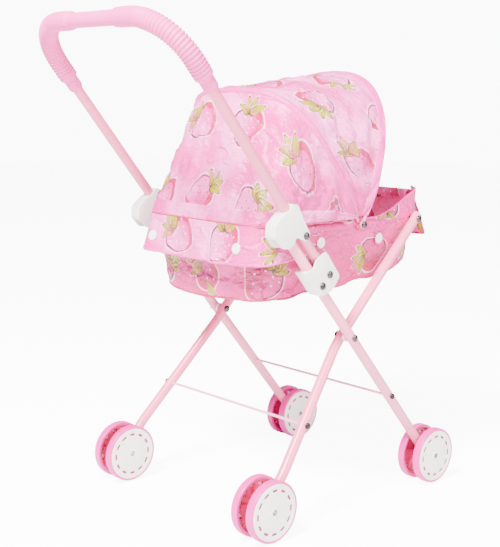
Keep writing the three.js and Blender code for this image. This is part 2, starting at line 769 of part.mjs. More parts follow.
// The stroller stands on Z = 0, centred over its own length.
const extent = new THREE.Box3().setFromObject(stroller, true);
stroller.position.y = -(extent.min.y + extent.max.y) / 2;

export default stroller;
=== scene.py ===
import json
import math

import bmesh
import bpy
import numpy as np
from mathutils import Matrix, Vector


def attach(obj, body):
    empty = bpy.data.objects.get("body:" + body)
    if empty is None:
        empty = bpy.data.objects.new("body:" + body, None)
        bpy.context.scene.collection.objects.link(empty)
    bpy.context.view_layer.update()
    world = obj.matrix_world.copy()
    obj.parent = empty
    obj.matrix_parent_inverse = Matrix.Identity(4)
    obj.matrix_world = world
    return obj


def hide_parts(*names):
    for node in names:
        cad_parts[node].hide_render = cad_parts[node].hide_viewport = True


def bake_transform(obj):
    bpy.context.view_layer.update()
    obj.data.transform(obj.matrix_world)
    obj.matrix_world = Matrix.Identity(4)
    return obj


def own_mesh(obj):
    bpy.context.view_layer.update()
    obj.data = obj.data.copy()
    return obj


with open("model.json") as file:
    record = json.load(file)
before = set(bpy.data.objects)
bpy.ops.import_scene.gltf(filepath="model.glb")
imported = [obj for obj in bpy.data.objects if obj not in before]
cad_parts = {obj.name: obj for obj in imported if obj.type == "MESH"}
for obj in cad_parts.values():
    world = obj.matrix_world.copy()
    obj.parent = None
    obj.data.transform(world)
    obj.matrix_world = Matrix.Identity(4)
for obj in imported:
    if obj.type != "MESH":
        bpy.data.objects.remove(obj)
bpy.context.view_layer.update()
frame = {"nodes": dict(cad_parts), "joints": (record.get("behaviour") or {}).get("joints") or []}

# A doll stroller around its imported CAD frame. Metres, +Z up, the stroller drives towards -Y.
# Pieces of one side are made for the left (+X) and mirrored. MM writes a dimension in millimetres.

MM = 0.001
SIDES = (("left", 1), ("right", -1))
JOINTS = {joint["name"]: joint for joint in frame["joints"]}


def pivot(joint):
    return Vector(JOINTS[joint]["pos_m"])


CROSS = pivot("rear_leg_fold")
HANDLE_HINGE = pivot("handle_fold")
SEAT_PIVOT = pivot("seat_fold")
CANOPY_PIVOT = pivot("canopy_fold")
FRONT_AXLE = pivot("front_wheels_left_roll")
REAR_AXLE = pivot("rear_wheels_left_roll")
FRAME_X = FRONT_AXLE.x
REAR_LEG_X = 106 * MM
REAR_WHEEL_X = REAR_AXLE.x
Y_ZERO = CROSS.y - 1 * MM  # the CAD model's own Y = 0
UP = Vector((0, 0, 1))


def at(x, y, z):
    """A point from the CAD model's own millimetres."""
    return Vector((x * MM, y * MM + Y_ZERO, z * MM))


def lean(angle):
    """The direction at an angle from +Y towards +Z, in degrees."""
    return Vector((0, math.cos(math.radians(angle)), math.sin(math.radians(angle))))


def with_x(point, x):
    return Vector((x, point[1], point[2]))


LEG_TOP_Y = -129
LEG_TOP_Z = 338
LEG_TOP = at(0, LEG_TOP_Y, LEG_TOP_Z)
FRONT_LEG_DIRECTION = (with_x(CROSS, 0) - with_x(FRONT_AXLE, 0)).normalized()
REAR_LEG_DIRECTION = (with_x(REAR_AXLE, 0) - with_x(CROSS, 0)).normalized()
REAR_LEG_UPPER = (LEG_TOP - with_x(CROSS, 0)).normalized()
HANDLE_DIRECTION = lean(50)
INSIDE_SEAT = at(0, -14, 318)

# ---------------------------------------------------------------- materials


def connect(tree, socket, value):
    """Feeds an input from a Value or an output, or sets it to a constant."""
    value = value.socket if isinstance(value, Value) else value
    if isinstance(value, bpy.types.NodeSocket):
        tree.links.new(value, socket)
    else:
        socket.default_value = value


class Value:
    """A number worked out inside a material by Math nodes."""

    def __init__(self, tree, socket):
        self.tree = tree
        self.socket = socket

    def math(self, operation, *others):
        node = self.tree.nodes.new("ShaderNodeMath")
        node.operation = operation
        for socket, value in zip(node.inputs, (self, *others)):
            connect(self.tree, socket, value)
        return Value(self.tree, node.outputs[0])

    def __add__(self, other):
        return self.math("ADD", other)

    def __sub__(self, other):
        return self.math("SUBTRACT", other)

    def __mul__(self, other):
        return self.math("MULTIPLY", other)

    def __truediv__(self, other):
        return self.math("DIVIDE", other)

    def length(self, other):
        return (self * self + other * other).math("SQRT")

    def below(self, edge, soft):
        """1 below the edge, 0 above it, with a soft step of that half width."""
        node = self.tree.nodes.new("ShaderNodeMapRange")
        node.interpolation_type = "SMOOTHSTEP"
        ends = {"From Min": edge - soft, "From Max": edge + soft, "To Min": 1.0, "To Max": 0.0}
        for name, value in {"Value": self, **ends}.items():
            connect(self.tree, node.inputs[name], value)
        return Value(self.tree, node.outputs[0])

    def above(self, edge, soft):
        return self.below(edge, soft) * -1 + 1


def linear(hex_colour):
    """An sRGB colour such as 0xF7C1CF as linear RGBA."""
    parts = [(hex_colour >> shift & 255) / 255 for shift in (16, 8, 0)]
    return [c / 12.92 if c <= 0.04045 else ((c + 0.055) / 1.055) ** 2.4 for c in parts] + [1]


class Look:
    """A node material around one Principled shader, which keeps the name of a material slot."""

    def __init__(self, name, slot, roughness, **sockets):
        self.material = bpy.data.materials.new(name)
        self.material.use_nodes = True
        self.tree = self.material.node_tree
        self.shader = self.tree.nodes["Principled BSDF"]
        self.slot = slot
        self.height = None
        for socket, value in dict(sockets, roughness=roughness).items():
            self.shader.inputs[socket.replace("_", " ").title()].default_value = value

    def node(self, kind, inputs=(), **settings):
        made = self.tree.nodes.new("ShaderNode" + kind)
        for key, value in settings.items():
            setattr(made, key, value)
        for key, value in dict(inputs).items():
            connect(self.tree, made.inputs[key], value)
        return made

    def value(self, kind, output, inputs=(), **settings):
        return Value(self.tree, self.node(kind, inputs, **settings).outputs[output])

    def noise(self, vector, scale, detail=2.0, roughness=0.5):
        inputs = {"Vector": vector, "Scale": scale, "Detail": detail, "Roughness": roughness}
        return self.value("TexNoise", "Fac", inputs)

    def place(self):
        return self.node("TexCoord").outputs["Object"]

    def stretched(self, vector, *scale):
        return self.node("Mapping", {"Vector": vector, "Scale": scale}).outputs[0]

    def mix(self, factor, first, second):
        """Two colours, each a socket or a hex number, mixed by a factor."""
        first, second = [linear(c) if isinstance(c, int) else c for c in (first, second)]
        return self.node("Mix", {0: factor, 6: first, 7: second}, data_type="RGBA").outputs[2]

    def feed(self, name, value):
        connect(self.tree, self.shader.inputs[name], value)

    def bump(self, value, distance, strength=1.0):
        """Bumps of the given height in metres, over those already there."""
        inputs = {"Height": value, "Distance": distance, "Strength": strength}
        if self.height:
            inputs["Normal"] = self.height
        self.height = self.node("Bump", inputs).outputs["Normal"]
        self.feed("Normal", self.height)


def moulded(name, slot, base, shade, roughness, grain, grain_height=0.02 * MM, **sockets):
    """Moulded plastic or paint: slow colour change, fine surface grain, gloss that varies a little."""
    look = Look(name, slot, roughness, **sockets)
    place = look.place()
    look.feed("Base Color", look.mix(look.noise(place, 18, 3).above(0.5, 0.25), base, shade))
    look.feed("Roughness", look.noise(place, 60, 3) * 0.16 + (roughness - 0.08))
    look.bump(look.noise(place, grain, 2), grain_height)
    return look


def edge_worn(look, amount):
    """Edges a little paler, as rubbed paint is."""
    at_edge = look.value("NewGeometry", "Pointiness").above(0.56, 0.05)
    unworn = look.shader.inputs["Base Color"].links[0].from_socket
    look.feed("Base Color", look.mix(at_edge * amount, unworn, 0xFFB4CC))


paint = moulded("pink_paint", "pink_paint", 0xF46E9C, 0xF06292, 0.33, 420, 0.015 * MM,
                coat_weight=0.2, coat_roughness=0.12)
edge_worn(paint, 0.5)
grip_rubber = moulded("grip_rubber", "pink_sleeve", 0xF456A8, 0xEE4AA0, 0.62, 1500, 0.05 * MM)
wheel_pink = moulded("wheel_pink", "pink_plastic", 0xEA24A0, 0xE21C94, 0.34, 700)
wheel_deep = moulded("wheel_deep_pink", "pink_plastic", 0xE8107C, 0xDC0A74, 0.4, 700)
# painted shade: a dark pink for the dashes behind the covers' slots, standing for the shadow in the slots
slot_shade_paint = moulded("wheel_slot_painted_shade", "pink_plastic", 0x980648, 0x8A0440, 0.45, 700)
white_plastic = moulded("white_plastic", "white_plastic", 0xF6F2EE, 0xECE6E2, 0.42, 450, 0.1 * MM)
snap_plastic = moulded("snap_plastic", "white_plastic", 0xFBEDF5, 0xF8E2EE, 0.3, 800)


def plated_steel(name, base):
    """Steel with fine drawn streaks and darker patches."""
    look = Look(name, "steel", 0.3, metallic=1.0)
    place = look.place()
    streaks = look.noise(look.stretched(place, 1.0, 40.0, 40.0), 90, 3)
    look.feed("Base Color", look.mix(look.noise(place, 220, 3).above(0.55, 0.15), base, 0x3A3436))
    look.feed("Roughness", streaks * 0.25 + 0.18)
    look.bump(streaks, 0.02 * MM)
    return look


steel = plated_steel("plated_steel", 0x605A5C)
axle_steel = plated_steel("axle_steel", 0xB0ACAA)
dark_steel = plated_steel("dark_steel", 0x3C3638)

THREADS = 620.0


def satin(name):
    """An unfinished satin look and its cloth coordinates, which are metres of cloth."""
    look = Look(name, "satin", 0.4, sheen_weight=0.08, sheen_roughness=0.4)
    return look, look.node("UVMap", uv_map="cloth").outputs[0]


def satin_surface(look, cloth, gloss):
    """Gloss that varies, soft creases, the small crackle of thin satin and its fine weave."""
    look.feed("Roughness", look.noise(cloth, 40, 2) * 0.2 + gloss)
    look.bump(look.noise(cloth, 14, 4, 0.62), 10.0 * MM, 0.9)
    look.bump(look.noise(look.stretched(cloth, 1.0, 2.2, 1.0), 60, 3, 0.55), 2.4 * MM, 0.7)
    warp, weft = [
        look.value("TexWave", "Fac", {"Vector": cloth, "Scale": THREADS}, bands_direction=way) for way in "XY"
    ]
    look.bump(warp * weft, 0.06 * MM, 0.6)


def plain_satin(name, base, shade):
    look, cloth = satin(name)
    look.feed("Base Color", look.mix(look.noise(cloth, 22, 3).above(0.5, 0.2), base, shade))
    satin_surface(look, cloth, 0.32)
    return look


PRINT_CELL = 84.0  # one berry in each cell of this many millimetres
BERRY_WIDTH = 22
BERRY_LENGTH = 24
SEED_ROW = 9.5
SEED_SPACE = 10.5
LEAF_ANGLES = (-62, -22, 18, 58)
LEAF_LENGTH = 12
PALE_RIM = 0xFBD4EC


def print_cells(look, cloth):
    """How far a cloth point is across and along its cell's berry, in mm, and the cell's chance number."""
    parts = look.node("SeparateXYZ", {"Vector": cloth})
    u, v = [Value(look.tree, parts.outputs[i]) * 1000 for i in (0, 1)]
    row = (v / PRINT_CELL).math("FLOOR")
    column_place = u / PRINT_CELL + row * 0.5
    column = column_place.math("FLOOR")
    seed = look.node("CombineXYZ", {"X": column, "Y": row, "Z": 0.37}).outputs[0]
    chance = look.node("TexWhiteNoise", {"Vector": seed}, noise_dimensions="3D").outputs["Color"]
    rolls = look.node("SeparateColor", {"Color": chance})
    roll, drift, tone = [Value(look.tree, rolls.outputs[i]) for i in range(3)]
    across = (column_place - column - 0.5) * PRINT_CELL + (drift - 0.5) * 10
    along = (v / PRINT_CELL - row - 0.5) * PRINT_CELL + (tone - 0.5) * 10
    turn = roll * (2 * math.pi)
    sine, cosine = turn.math("SINE"), turn.math("COSINE")
    wobble = (look.noise(cloth, 45, 1) - 0.5) * 6
    return across * cosine - along * sine + wobble, across * sine + along * cosine + wobble, tone


def printed_satin(name, pale, strong, berry_light, berry_dark):
    """Satin with a large strawberry print."""
    look, cloth = satin(name)
    a, b, tone = print_cells(look, cloth)

    # the berry: broad shoulders, a tip below, a thin outline with one side of it painted thick
    taper = ((b + 7) / 24).math("MINIMUM", 1.0).math("MAXIMUM", -1.2) * 0.4 + 1
    berry = (a / (taper * BERRY_WIDTH)).length((b + 7) / BERRY_LENGTH)
    blotches = look.noise(cloth, 11, 1)
    # painted shade and sheen: random hot-pink patches on the pale ground stand for the satin's shaded soft
    # folds, the pale between them for its sheen
    ground = look.mix(blotches.above(0.505, 0.1) * 0.9, pale, strong)
    colour = look.mix(berry.below(1.08, 0.02) * 0.6, ground, PALE_RIM)
    body = look.mix((a + blotches * 40 - 20).above(4, 12), berry_light, berry_dark)
    side = (a - b * 0.35).above(5, 5)
    brush = berry.above(side * -0.2 + 0.91, 0.012)
    body = look.mix(brush, body, look.mix(side, 0x6C0636, 0xB8004E))
    seed_row = (b / SEED_ROW).math("FLOOR")
    seed_a = (a / SEED_SPACE + seed_row * 0.5).math("FRACT") - 0.5
    seed_b = (b / SEED_ROW).math("FRACT") - 0.5
    seed = seed_a.length(seed_b).below(0.1, 0.025) * berry.below(0.8, 0.03)
    body = look.mix(seed * 0.9, body, look.mix(tone.above(0.66, 0.01), 0x5A0830, 0xFFEAF6))
    colour = look.mix(berry.below(1.0, 0.015), colour, body)

    # four pointed leaves over the berry's shoulders
    for angle in LEAF_ANGLES:
        s, c = math.sin(math.radians(angle)), math.cos(math.radians(angle))
        along = a * s + (b - 10) * c
        across = a * c - (b - 10) * s
        half_width = along.above(12, 10) * -3.4 + 7.2
        leaf = ((along - 11) / LEAF_LENGTH).length(across / half_width)
        colour = look.mix(leaf.below(1.17, 0.04) * berry.above(1.0, 0.02) * 0.55, colour, PALE_RIM)
        colour = look.mix(leaf.below(1.0, 0.025), colour, 0x483A16)
        vein = across.math("ABSOLUTE").below(0.3, 0.15)
        fill = look.mix(vein * 0.7, look.mix(along.above(10, 8), 0x947C00, 0xB09C0C), 0x463806)
        colour = look.mix(leaf.below(0.86, 0.025), colour, fill)

    # painted shade: the satin is drawn deeper in colour along its creases, on one side of each line
    depth = look.noise(look.stretched(cloth, 1.0, 1.7, 1.0), 13, 4, 0.55) - 0.5
    line = depth.math("ABSOLUTE").below(0.0, 0.022) * look.noise(cloth, 10, 1).above(0.5, 0.1)
    shade = depth.above(0.0, 0.003) * depth.below(0.05, 0.05)
    colour = look.mix(line * 0.75, colour, 0xC80070)
    look.feed("Base Color", look.mix(shade * 0.35, colour, 0xE0008A))
    look.bump(depth.math("ABSOLUTE").below(0.03, 0.03), 2.5 * MM, 0.6)
    satin_surface(look, cloth, 0.28)
    return look


canopy_satin = printed_satin("canopy_satin", 0xFF76C6, 0xE60090, 0xF26CBA, 0xD82888)
basket_satin = printed_satin("basket_satin", 0xE81C8E, 0xCC006C, 0xD42482, 0xA80458)
# the lining side, lighter than the basket's outside: painted light for the shaded insides
lining_satin_painted_light = printed_satin("lining_satin_painted_light", 0xF86CB8, 0xEC2C98, 0xE850A4, 0xC00C68)
# painted light: the inner side glows a little with its own colour, for the room's light that comes through
# the thin cloth
lining_satin_painted_light.feed("Emission Color", lining_satin_painted_light.shader.inputs["Base Color"].links[0].from_socket)
lining_satin_painted_light.shader.inputs["Emission Strength"].default_value = 0.3
binding_satin = plain_satin("binding_satin", 0xF03CA8, 0xEA289C)
trim_satin = plain_satin("trim_satin", 0xBC0860, 0xB00456)

# ---------------------------------------------------------------- mesh making


def add_piece(name, verts, faces, look, body, nodes=(), uvs=None, smooth=45):
    """A mesh piece that rides on a CAD body and stands for CAD nodes. uvs: one per vertex or face corner."""
    mesh = bpy.data.meshes.new(name)
    mesh.from_pydata([tuple(v) for v in verts], [], [tuple(f) for f in faces])
    mesh.materials.append(look.material)
    if uvs is not None:
        uvs = np.asarray(uvs, float)
        if len(uvs) == len(verts):
            uvs = uvs[[i for face in faces for i in face]]
        mesh.uv_layers.new(name="cloth").data.foreach_set("uv", uvs.ravel())
    piece = bpy.data.objects.new(name, mesh)
    bpy.context.scene.collection.objects.link(piece)
    finish_mesh(piece, smooth)
    if body:
        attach(piece, body)
    if nodes:
        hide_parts(*nodes)
    return piece


def finish_mesh(piece, smooth):
    """Faces that look outwards, shaded smooth except over edges sharper than an angle in degrees."""
    mesh = bmesh.new()
    mesh.from_mesh(piece.data)
    bmesh.ops.recalc_face_normals(mesh, faces=mesh.faces)
    if mesh.calc_volume(signed=True) < 0:
        bmesh.ops.reverse_faces(mesh, faces=mesh.faces)
    for face in mesh.faces:
        face.smooth = True
    for edge in mesh.edges:
        edge.smooth = len(edge.link_faces) == 2 and edge.calc_face_angle(0) < math.radians(smooth)
    mesh.to_mesh(piece.data)
    mesh.free()


def mirror(verts, side):
    return [Vector((v[0] * side, v[1], v[2])) for v in verts]


def solid(name, part, look, body, side=1, smooth=45, nodes=()):
    verts, faces = part
    return add_piece(name, mirror(verts, side), faces, look, body, nodes, smooth=smooth)


def shown(node, part, look, body, side=1, smooth=45):
    """The solid piece that stands for a CAD node."""
    return solid("shown_" + node, part, look, body, side, smooth, [node])


def joined(*parts):
    """Several (verts, faces) as one."""
    verts, faces = [], []
    for part_verts, part_faces in parts:
        faces += [[i + len(verts) for i in face] for face in part_faces]
        verts += list(part_verts)
    return verts, faces


def loft(sections, closed=False):
    """Quads between rings of points. A closed loft joins its last ring to its first; others are capped."""
    count = len(sections[0])
    rings = len(sections)
    faces = []
    for i in range(rings if closed else rings - 1):
        for j in range(count):
            k = (j + 1) % count
            low, high = i * count, (i + 1) % rings * count
            faces.append((low + j, low + k, high + k, high + j))
    if not closed:
        faces.append(tuple(reversed(range(count))))
        faces.append(tuple(range((rings - 1) * count, rings * count)))
    return [p for section in sections for p in section], faces


def rounded(corners, trims, pieces=8):
    """A path whose corners are rounded by the given tangent lengths."""
    points = [Vector(corners[0])]
    for before, corner, after, trim in zip(corners, corners[1:], corners[2:], trims):
        start = corner + (before - corner).normalized() * trim
        end = corner + (after - corner).normalized() * trim
        for t in np.linspace(0, 1, pieces + 1):
            points.append(start * (1 - t) ** 2 + corner * (2 * t * (1 - t)) + end * t * t)
    return points + [Vector(corners[-1])]


def frames(points, closed=False):
    """Two cross directions at each point of a path, turning as little as possible."""
    count = len(points)
    tangents = []
    for i in range(count):
        ahead = points[(i + 1) % count] if closed or i < count - 1 else points[i]
        behind = points[i - 1] if closed or i > 0 else points[i]
        tangents.append((ahead - behind).normalized())
    side = tangents[0].orthogonal().normalized()
    result = []
    for tangent in tangents:
        side = (side - tangent * side.dot(tangent)).normalized()
        result.append((side, tangent.cross(side)))
    return result


def ring_at(centre, across, up, radius, sides):
    angles = [2 * math.pi * i / sides for i in range(sides)]
    return [centre + across * (radius * math.cos(t)) + up * (radius * math.sin(t)) for t in angles]


DOME_ANGLES = (25, 50, 70, 85)


def tube(points, radius, sides=32, dome=0.0, closed=False):
    """A round bar along a path. radius is one number or one per point; dome is how far its ends bulge."""
    radii = radius if isinstance(radius, list) else [radius] * len(points)
    turns = frames(points, closed)
    sections = [ring_at(p, a, b, r, sides) for p, (a, b), r in zip(points, turns, radii)]
    if not dome:
        return loft(sections, closed)
    for end, next_in in ((0, 1), (-1, -2)):
        out = (points[end] - points[next_in]).normalized()
        for angle in DOME_ANGLES:
            t = math.radians(angle)
            centre = points[end] + out * (dome * math.sin(t))
            ring = ring_at(centre, *turns[end], radii[end] * math.cos(t), sides)
            sections = [ring] + sections if end == 0 else sections + [ring]
    return loft(sections)


def lathe(profile, centre, sides=48, closed=False):
    """A profile of (radius, x) turned about the X axis through a centre. A closed one is a ring."""
    sections = []
    for radius, x in profile:
        middle = with_x(centre, centre[0] + x)
        sections.append(ring_at(middle, Vector((0, 1, 0)), UP, max(radius, 1e-5), sides))
    return loft(sections, closed)


def scaled(profile):
    return [(r * MM, x * MM) for r, x in profile]


def softened(profile, radius):
    """A closed (radius, x) profile, in millimetres, in metres and with its corners rounded."""
    corners = [Vector(corner) for corner in scaled(profile)]
    soft = []
    for i, here in enumerate(corners):
        sides = [other - here for other in (corners[i - 1], corners[(i + 1) % len(corners)])]
        before, after = [here + away.normalized() * min(radius * MM, away.length * 0.45) for away in sides]
        for t in (0, 1 / 3, 2 / 3, 1):
            soft.append(tuple(before * (1 - t) ** 2 + here * (2 * t * (1 - t)) + after * t * t))
    return soft


def bevel_sharp(mesh, angle, width, segments):
    """Rounds over a bmesh's edges that are sharper than an angle in degrees."""
    sharp = [e for e in mesh.edges if len(e.link_faces) == 2 and e.calc_face_angle(0) > math.radians(angle)]
    bmesh.ops.bevel(mesh, geom=sharp, offset=width, offset_type="OFFSET", segments=segments, profile=0.5,
                    affect="EDGES", clamp_overlap=True)


def taken(mesh):
    """A bmesh's (verts, faces). The bmesh is freed."""
    mesh.verts.index_update()
    part = [v.co.copy() for v in mesh.verts], [[v.index for v in face.verts] for face in mesh.faces]
    mesh.free()
    return part


# ---------------------------------------------------------------- frame tubes

TUBE_RADIUS = 6 * MM
LEG_END = 9 * MM
SPLAY = (18 * MM, 180 * MM)
FRONT_LEG_DOME = 1.5 * MM
REAR_LEG_DOME = 3 * MM
TUBE_SIDE = 6.3 * MM  # from a tube's middle to a rivet head on it
BRACKET_SIDE = 8.5 * MM  # from a tube's middle to a rivet head on the bracket round it
RIM_INSIDE = 87.2 * MM
EYE_OUTSIDE = 107 * MM

front_leg_path = [
    with_x(FRONT_AXLE - FRONT_LEG_DIRECTION * LEG_END, FRAME_X),
    with_x(CROSS + FRONT_LEG_DIRECTION * (177 * MM), FRAME_X),
]
rear_leg_path = rounded(
    [
        with_x(LEG_TOP + REAR_LEG_UPPER * LEG_END, REAR_LEG_X),
        with_x(CROSS, REAR_LEG_X),
        with_x(CROSS + REAR_LEG_DIRECTION * SPLAY[0], REAR_LEG_X),
        with_x(CROSS + REAR_LEG_DIRECTION * SPLAY[1], REAR_WHEEL_X),
        with_x(REAR_AXLE + REAR_LEG_DIRECTION * LEG_END, REAR_WHEEL_X),
    ],
    [9 * MM, 6 * MM, 8 * MM],
)


def leg(path, dome):
    """A tube with domed ends, which reach as far as the path does."""
    first = path[0] + (path[1] - path[0]).normalized() * dome
    last = path[-1] + (path[-2] - path[-1]).normalized() * dome
    return tube([first, *path[1:-1], last], TUBE_RADIUS, dome=dome)


def rear_leg_x(distance):
    share = min(max((distance - SPLAY[0]) / (SPLAY[1] - SPLAY[0]), 0), 1)
    return REAR_LEG_X + (REAR_WHEEL_X - REAR_LEG_X) * share


def domed_head(x, centre, way, head=4.4 * MM, height=2.2 * MM):
    """A rivet's domed head with a flat rim, its underside at x, facing +X where way is 1."""
    profile = [(0, 0), (head, 0), (head, 0.18 * height)]
    for t in np.linspace(0.25, 1.45, 7):
        profile.append((head * math.cos(t), height * (0.18 + 0.82 * math.sin(t))))
    return lathe([(r, x + way * h) for r, h in [*profile, (0, height)]], with_x(centre, 0), 32)


def rivet(x0, x1, centre, inner_head=True):
    shank = 2 * MM
    bar = lathe([(0, x0), (shank, x0), (shank, x1), (0, x1)], with_x(centre, 0), 24)
    heads = [domed_head(x0, centre, -1)] if inner_head else []
    return joined(bar, *heads, domed_head(x1, centre, 1))


def cross_spacer():
    profile = softened([(2.6, 0), (6, 0), (6, 2.9), (2.6, 2.9)], 0.4)
    return lathe(profile, with_x(CROSS, REAR_LEG_X + TUBE_SIDE), 32, closed=True)


BRACKET_RIVET = CROSS + FRONT_LEG_DIRECTION * (90.5 * MM)
FRONT_ROD = CROSS - FRONT_LEG_DIRECTION * (109 * MM)
REAR_ROD_DISTANCE = 119 * MM
REAR_ROD = CROSS + REAR_LEG_DIRECTION * REAR_ROD_DISTANCE
INSIDE, OUTSIDE = FRAME_X - BRACKET_SIDE, FRAME_X + BRACKET_SIDE
TOP_INSIDE, TOP_OUTSIDE = REAR_LEG_X - BRACKET_SIDE, REAR_LEG_X + TUBE_SIDE

for name, part, look, body in (
    ("front_leg", leg(front_leg_path, FRONT_LEG_DOME), paint, "front_frame"),
    ("rear_leg", leg(rear_leg_path, REAR_LEG_DOME), paint, "rear_frame"),
    ("bracket_rivet", rivet(INSIDE, OUTSIDE, BRACKET_RIVET), steel, "front_frame"),
    ("hinge_rivet", rivet(INSIDE, OUTSIDE, HANDLE_HINGE), steel, "front_frame"),
    ("cross_rivet", rivet(REAR_LEG_X - TUBE_SIDE, FRAME_X + TUBE_SIDE, CROSS), steel, "front_frame"),
    ("seat_rivet", rivet(RIM_INSIDE, OUTSIDE, SEAT_PIVOT), steel, "handle"),
    ("canopy_rivet", rivet(RIM_INSIDE, EYE_OUTSIDE, CANOPY_PIVOT), steel, "seat"),
    ("leg_top_rivet", rivet(TOP_INSIDE, TOP_OUTSIDE, LEG_TOP, inner_head=False), steel, "rear_frame"),
    ("cross_spacer", cross_spacer(), white_plastic, "front_frame"),
):
    for side_name, side in SIDES:
        shown(name + "_" + side_name, part, look, body, side)


def eased_copy(node):
    """A CAD shape with its sharp edges rounded over."""
    mesh = bmesh.new()
    mesh.from_mesh(frame["nodes"][node].data)
    bmesh.ops.remove_doubles(mesh, verts=mesh.verts, dist=0.01 * MM)
    bmesh.ops.dissolve_limit(mesh, angle_limit=math.radians(1), verts=mesh.verts, edges=mesh.edges)
    bevel_sharp(mesh, 50, 0.8 * MM, 3)
    bmesh.ops.triangulate(mesh, faces=mesh.faces)
    return taken(mesh)


for kind, body in (("hinge_bracket", "front_frame"), ("lock_clip", "handle")):
    for side_name, side in SIDES:
        node = kind + "_" + side_name
        shown(node, eased_copy(node), white_plastic, body)

# cross rods: a plated head over each end
for name, centre, half, body in (
    ("front_cross_rod", FRONT_ROD, FRAME_X + TUBE_SIDE, "front_frame"),
    ("rear_cross_rod", REAR_ROD, rear_leg_x(REAR_ROD_DISTANCE) + 7 * MM, "rear_frame"),
):
    shown(name, tube([with_x(centre, -half), with_x(centre, half)], 1.6 * MM, 24), paint, body)
    for side_name, side in SIDES:
        head = domed_head(half, centre, 1, 3.7 * MM, 2.5 * MM)
        solid(name + "_head_" + side_name, head, dark_steel, body, side)

# ---------------------------------------------------------------- handle and grip

HANDLE_START = -5 * MM
HANDLE_LENGTH = 360 * MM
HANDLE_CORNER = 58 * MM
GRIP_START = 267 * MM
GRIP_STEP = 0.45 * MM
RIB_PITCH = 4.0 * MM


def walked_along(points, axis=0):
    """The distance walked along an axis of an array of points, from 0."""
    steps = np.linalg.norm(np.diff(points, axis=axis), axis=-1)
    return np.concatenate([np.zeros_like(np.take(steps, [0], axis)), np.cumsum(steps, axis)], axis)


def spaced(path, count=None, step=None):
    """A path's points taken again at even distances, so many of them or so far apart."""
    points = np.array([tuple(p) for p in path])
    lengths = walked_along(points)
    walk = np.linspace(0, lengths[-1], count or int(lengths[-1] / step) + 1)
    return np.stack([np.interp(walk, lengths, points[:, k]) for k in range(3)], axis=1)


def even(path, step):
    return [Vector(p) for p in spaced(path, step=step)]


def handle_path(start):
    """The handle's centreline from the left arm round to the right one."""
    half = [with_x(HANDLE_HINGE + HANDLE_DIRECTION * start, FRAME_X)]
    for turn in np.linspace(0, math.pi / 2, 25):
        x = FRAME_X - HANDLE_CORNER * (1 - math.cos(turn))
        along = HANDLE_LENGTH - HANDLE_CORNER * (1 - math.sin(turn))
        half.append(with_x(HANDLE_HINGE + HANDLE_DIRECTION * along, x))
    return half + mirror(half, -1)[::-1]


def smooth_step(x, low, high):
    t = min(max((x - low) / (high - low), 0), 1)
    return t * t * (3 - 2 * t)


def grip_radius(s, length):
    """Neck, ribbed bend, plain shoulder and slimmer middle, the same from both ends."""
    s = min(s, length - s)
    radius = 7.4 + 1.0 * smooth_step(s, 0, 3 * MM) + 2.3 * smooth_step(s, 14 * MM, 18 * MM)
    radius -= 0.3 * smooth_step(s, 140 * MM, 144 * MM)
    radius -= 2.0 * smooth_step(s, 147 * MM, 149 * MM)
    ribbed = smooth_step(s, 19 * MM, 24 * MM) * (1 - smooth_step(s, 104 * MM, 116 * MM))
    wave = math.cos(2 * math.pi * s / RIB_PITCH)
    return (radius + ribbed * 0.5 * (wave if wave > 0 else wave * 1.2)) * MM


shown("handle_tube", tube(handle_path(HANDLE_START), TUBE_RADIUS, dome=2 * MM), paint, "handle")
grip_path = even(handle_path(GRIP_START), GRIP_STEP)
grip_radii = [grip_radius(GRIP_STEP * i, GRIP_STEP * (len(grip_path) - 1)) for i in range(len(grip_path))]
shown("handle_grip", tube(grip_path, grip_radii, 48, dome=0.6 * MM), grip_rubber, "handle", smooth=70)

# ---------------------------------------------------------------- wheels

# Wheel parts are made about the origin, facing +X, from sizes in millimetres.
SLOT_COUNT = 12
SLOT_RADIUS = 24.9
SLOT_WIDTH = 3.0
SLOT_ANGLE = math.radians(16.5)
RIB_COUNT = 6
SLOT_STEP = 2 * math.pi / SLOT_COUNT


def around_axle(x, radius, angle):
    return Vector((x * MM, radius * MM * math.cos(angle), radius * MM * math.sin(angle)))


def slotted_disc(inner, outer, low, high, ease, extra_rings=(), turned=0.0):
    """A disc between two radii with twelve slots through it, from x = low to x = high, its edges eased."""
    slot_in, slot_out = SLOT_RADIUS - SLOT_WIDTH / 2, SLOT_RADIUS + SLOT_WIDTH / 2
    radii = sorted({inner, inner + ease, slot_in, slot_out, outer - ease, outer, *extra_rings})
    angles, in_slot = [], []
    for k in range(SLOT_COUNT):
        middle = turned + k * SLOT_STEP
        angles += [middle - SLOT_ANGLE / 2 + SLOT_ANGLE * i / 4 for i in range(4)]
        rest = SLOT_STEP - SLOT_ANGLE
        angles += [middle + SLOT_ANGLE / 2 + rest * i / 5 for i in range(5)]
        in_slot += [True] * 4 + [False] * 5
    mesh = bmesh.new()
    grid = [[mesh.verts.new(around_axle(low, r, t)) for t in angles] for r in radii]
    for i in range(len(radii) - 1):
        for j in range(len(angles)):
            if in_slot[j] and radii[i] >= slot_in - 1e-6 and radii[i + 1] <= slot_out + 1e-6:
                continue
            k = (j + 1) % len(angles)
            mesh.faces.new((grid[i][j], grid[i][k], grid[i + 1][k], grid[i + 1][j]))
    bmesh.ops.delete(mesh, geom=[v for v in mesh.verts if not v.link_faces], context="VERTS")
    made = bmesh.ops.extrude_face_region(mesh, geom=mesh.faces[:])
    top = [g for g in made["geom"] if isinstance(g, bmesh.types.BMVert)]
    bmesh.ops.translate(mesh, verts=top, vec=((high - low) * MM, 0, 0))
    bevel_sharp(mesh, 60, 0.25 * MM, 2)
    return taken(mesh)


def solid_ring(profile, ease, sides=96):
    return lathe(softened(profile, ease), (0, 0, 0), sides, closed=True)


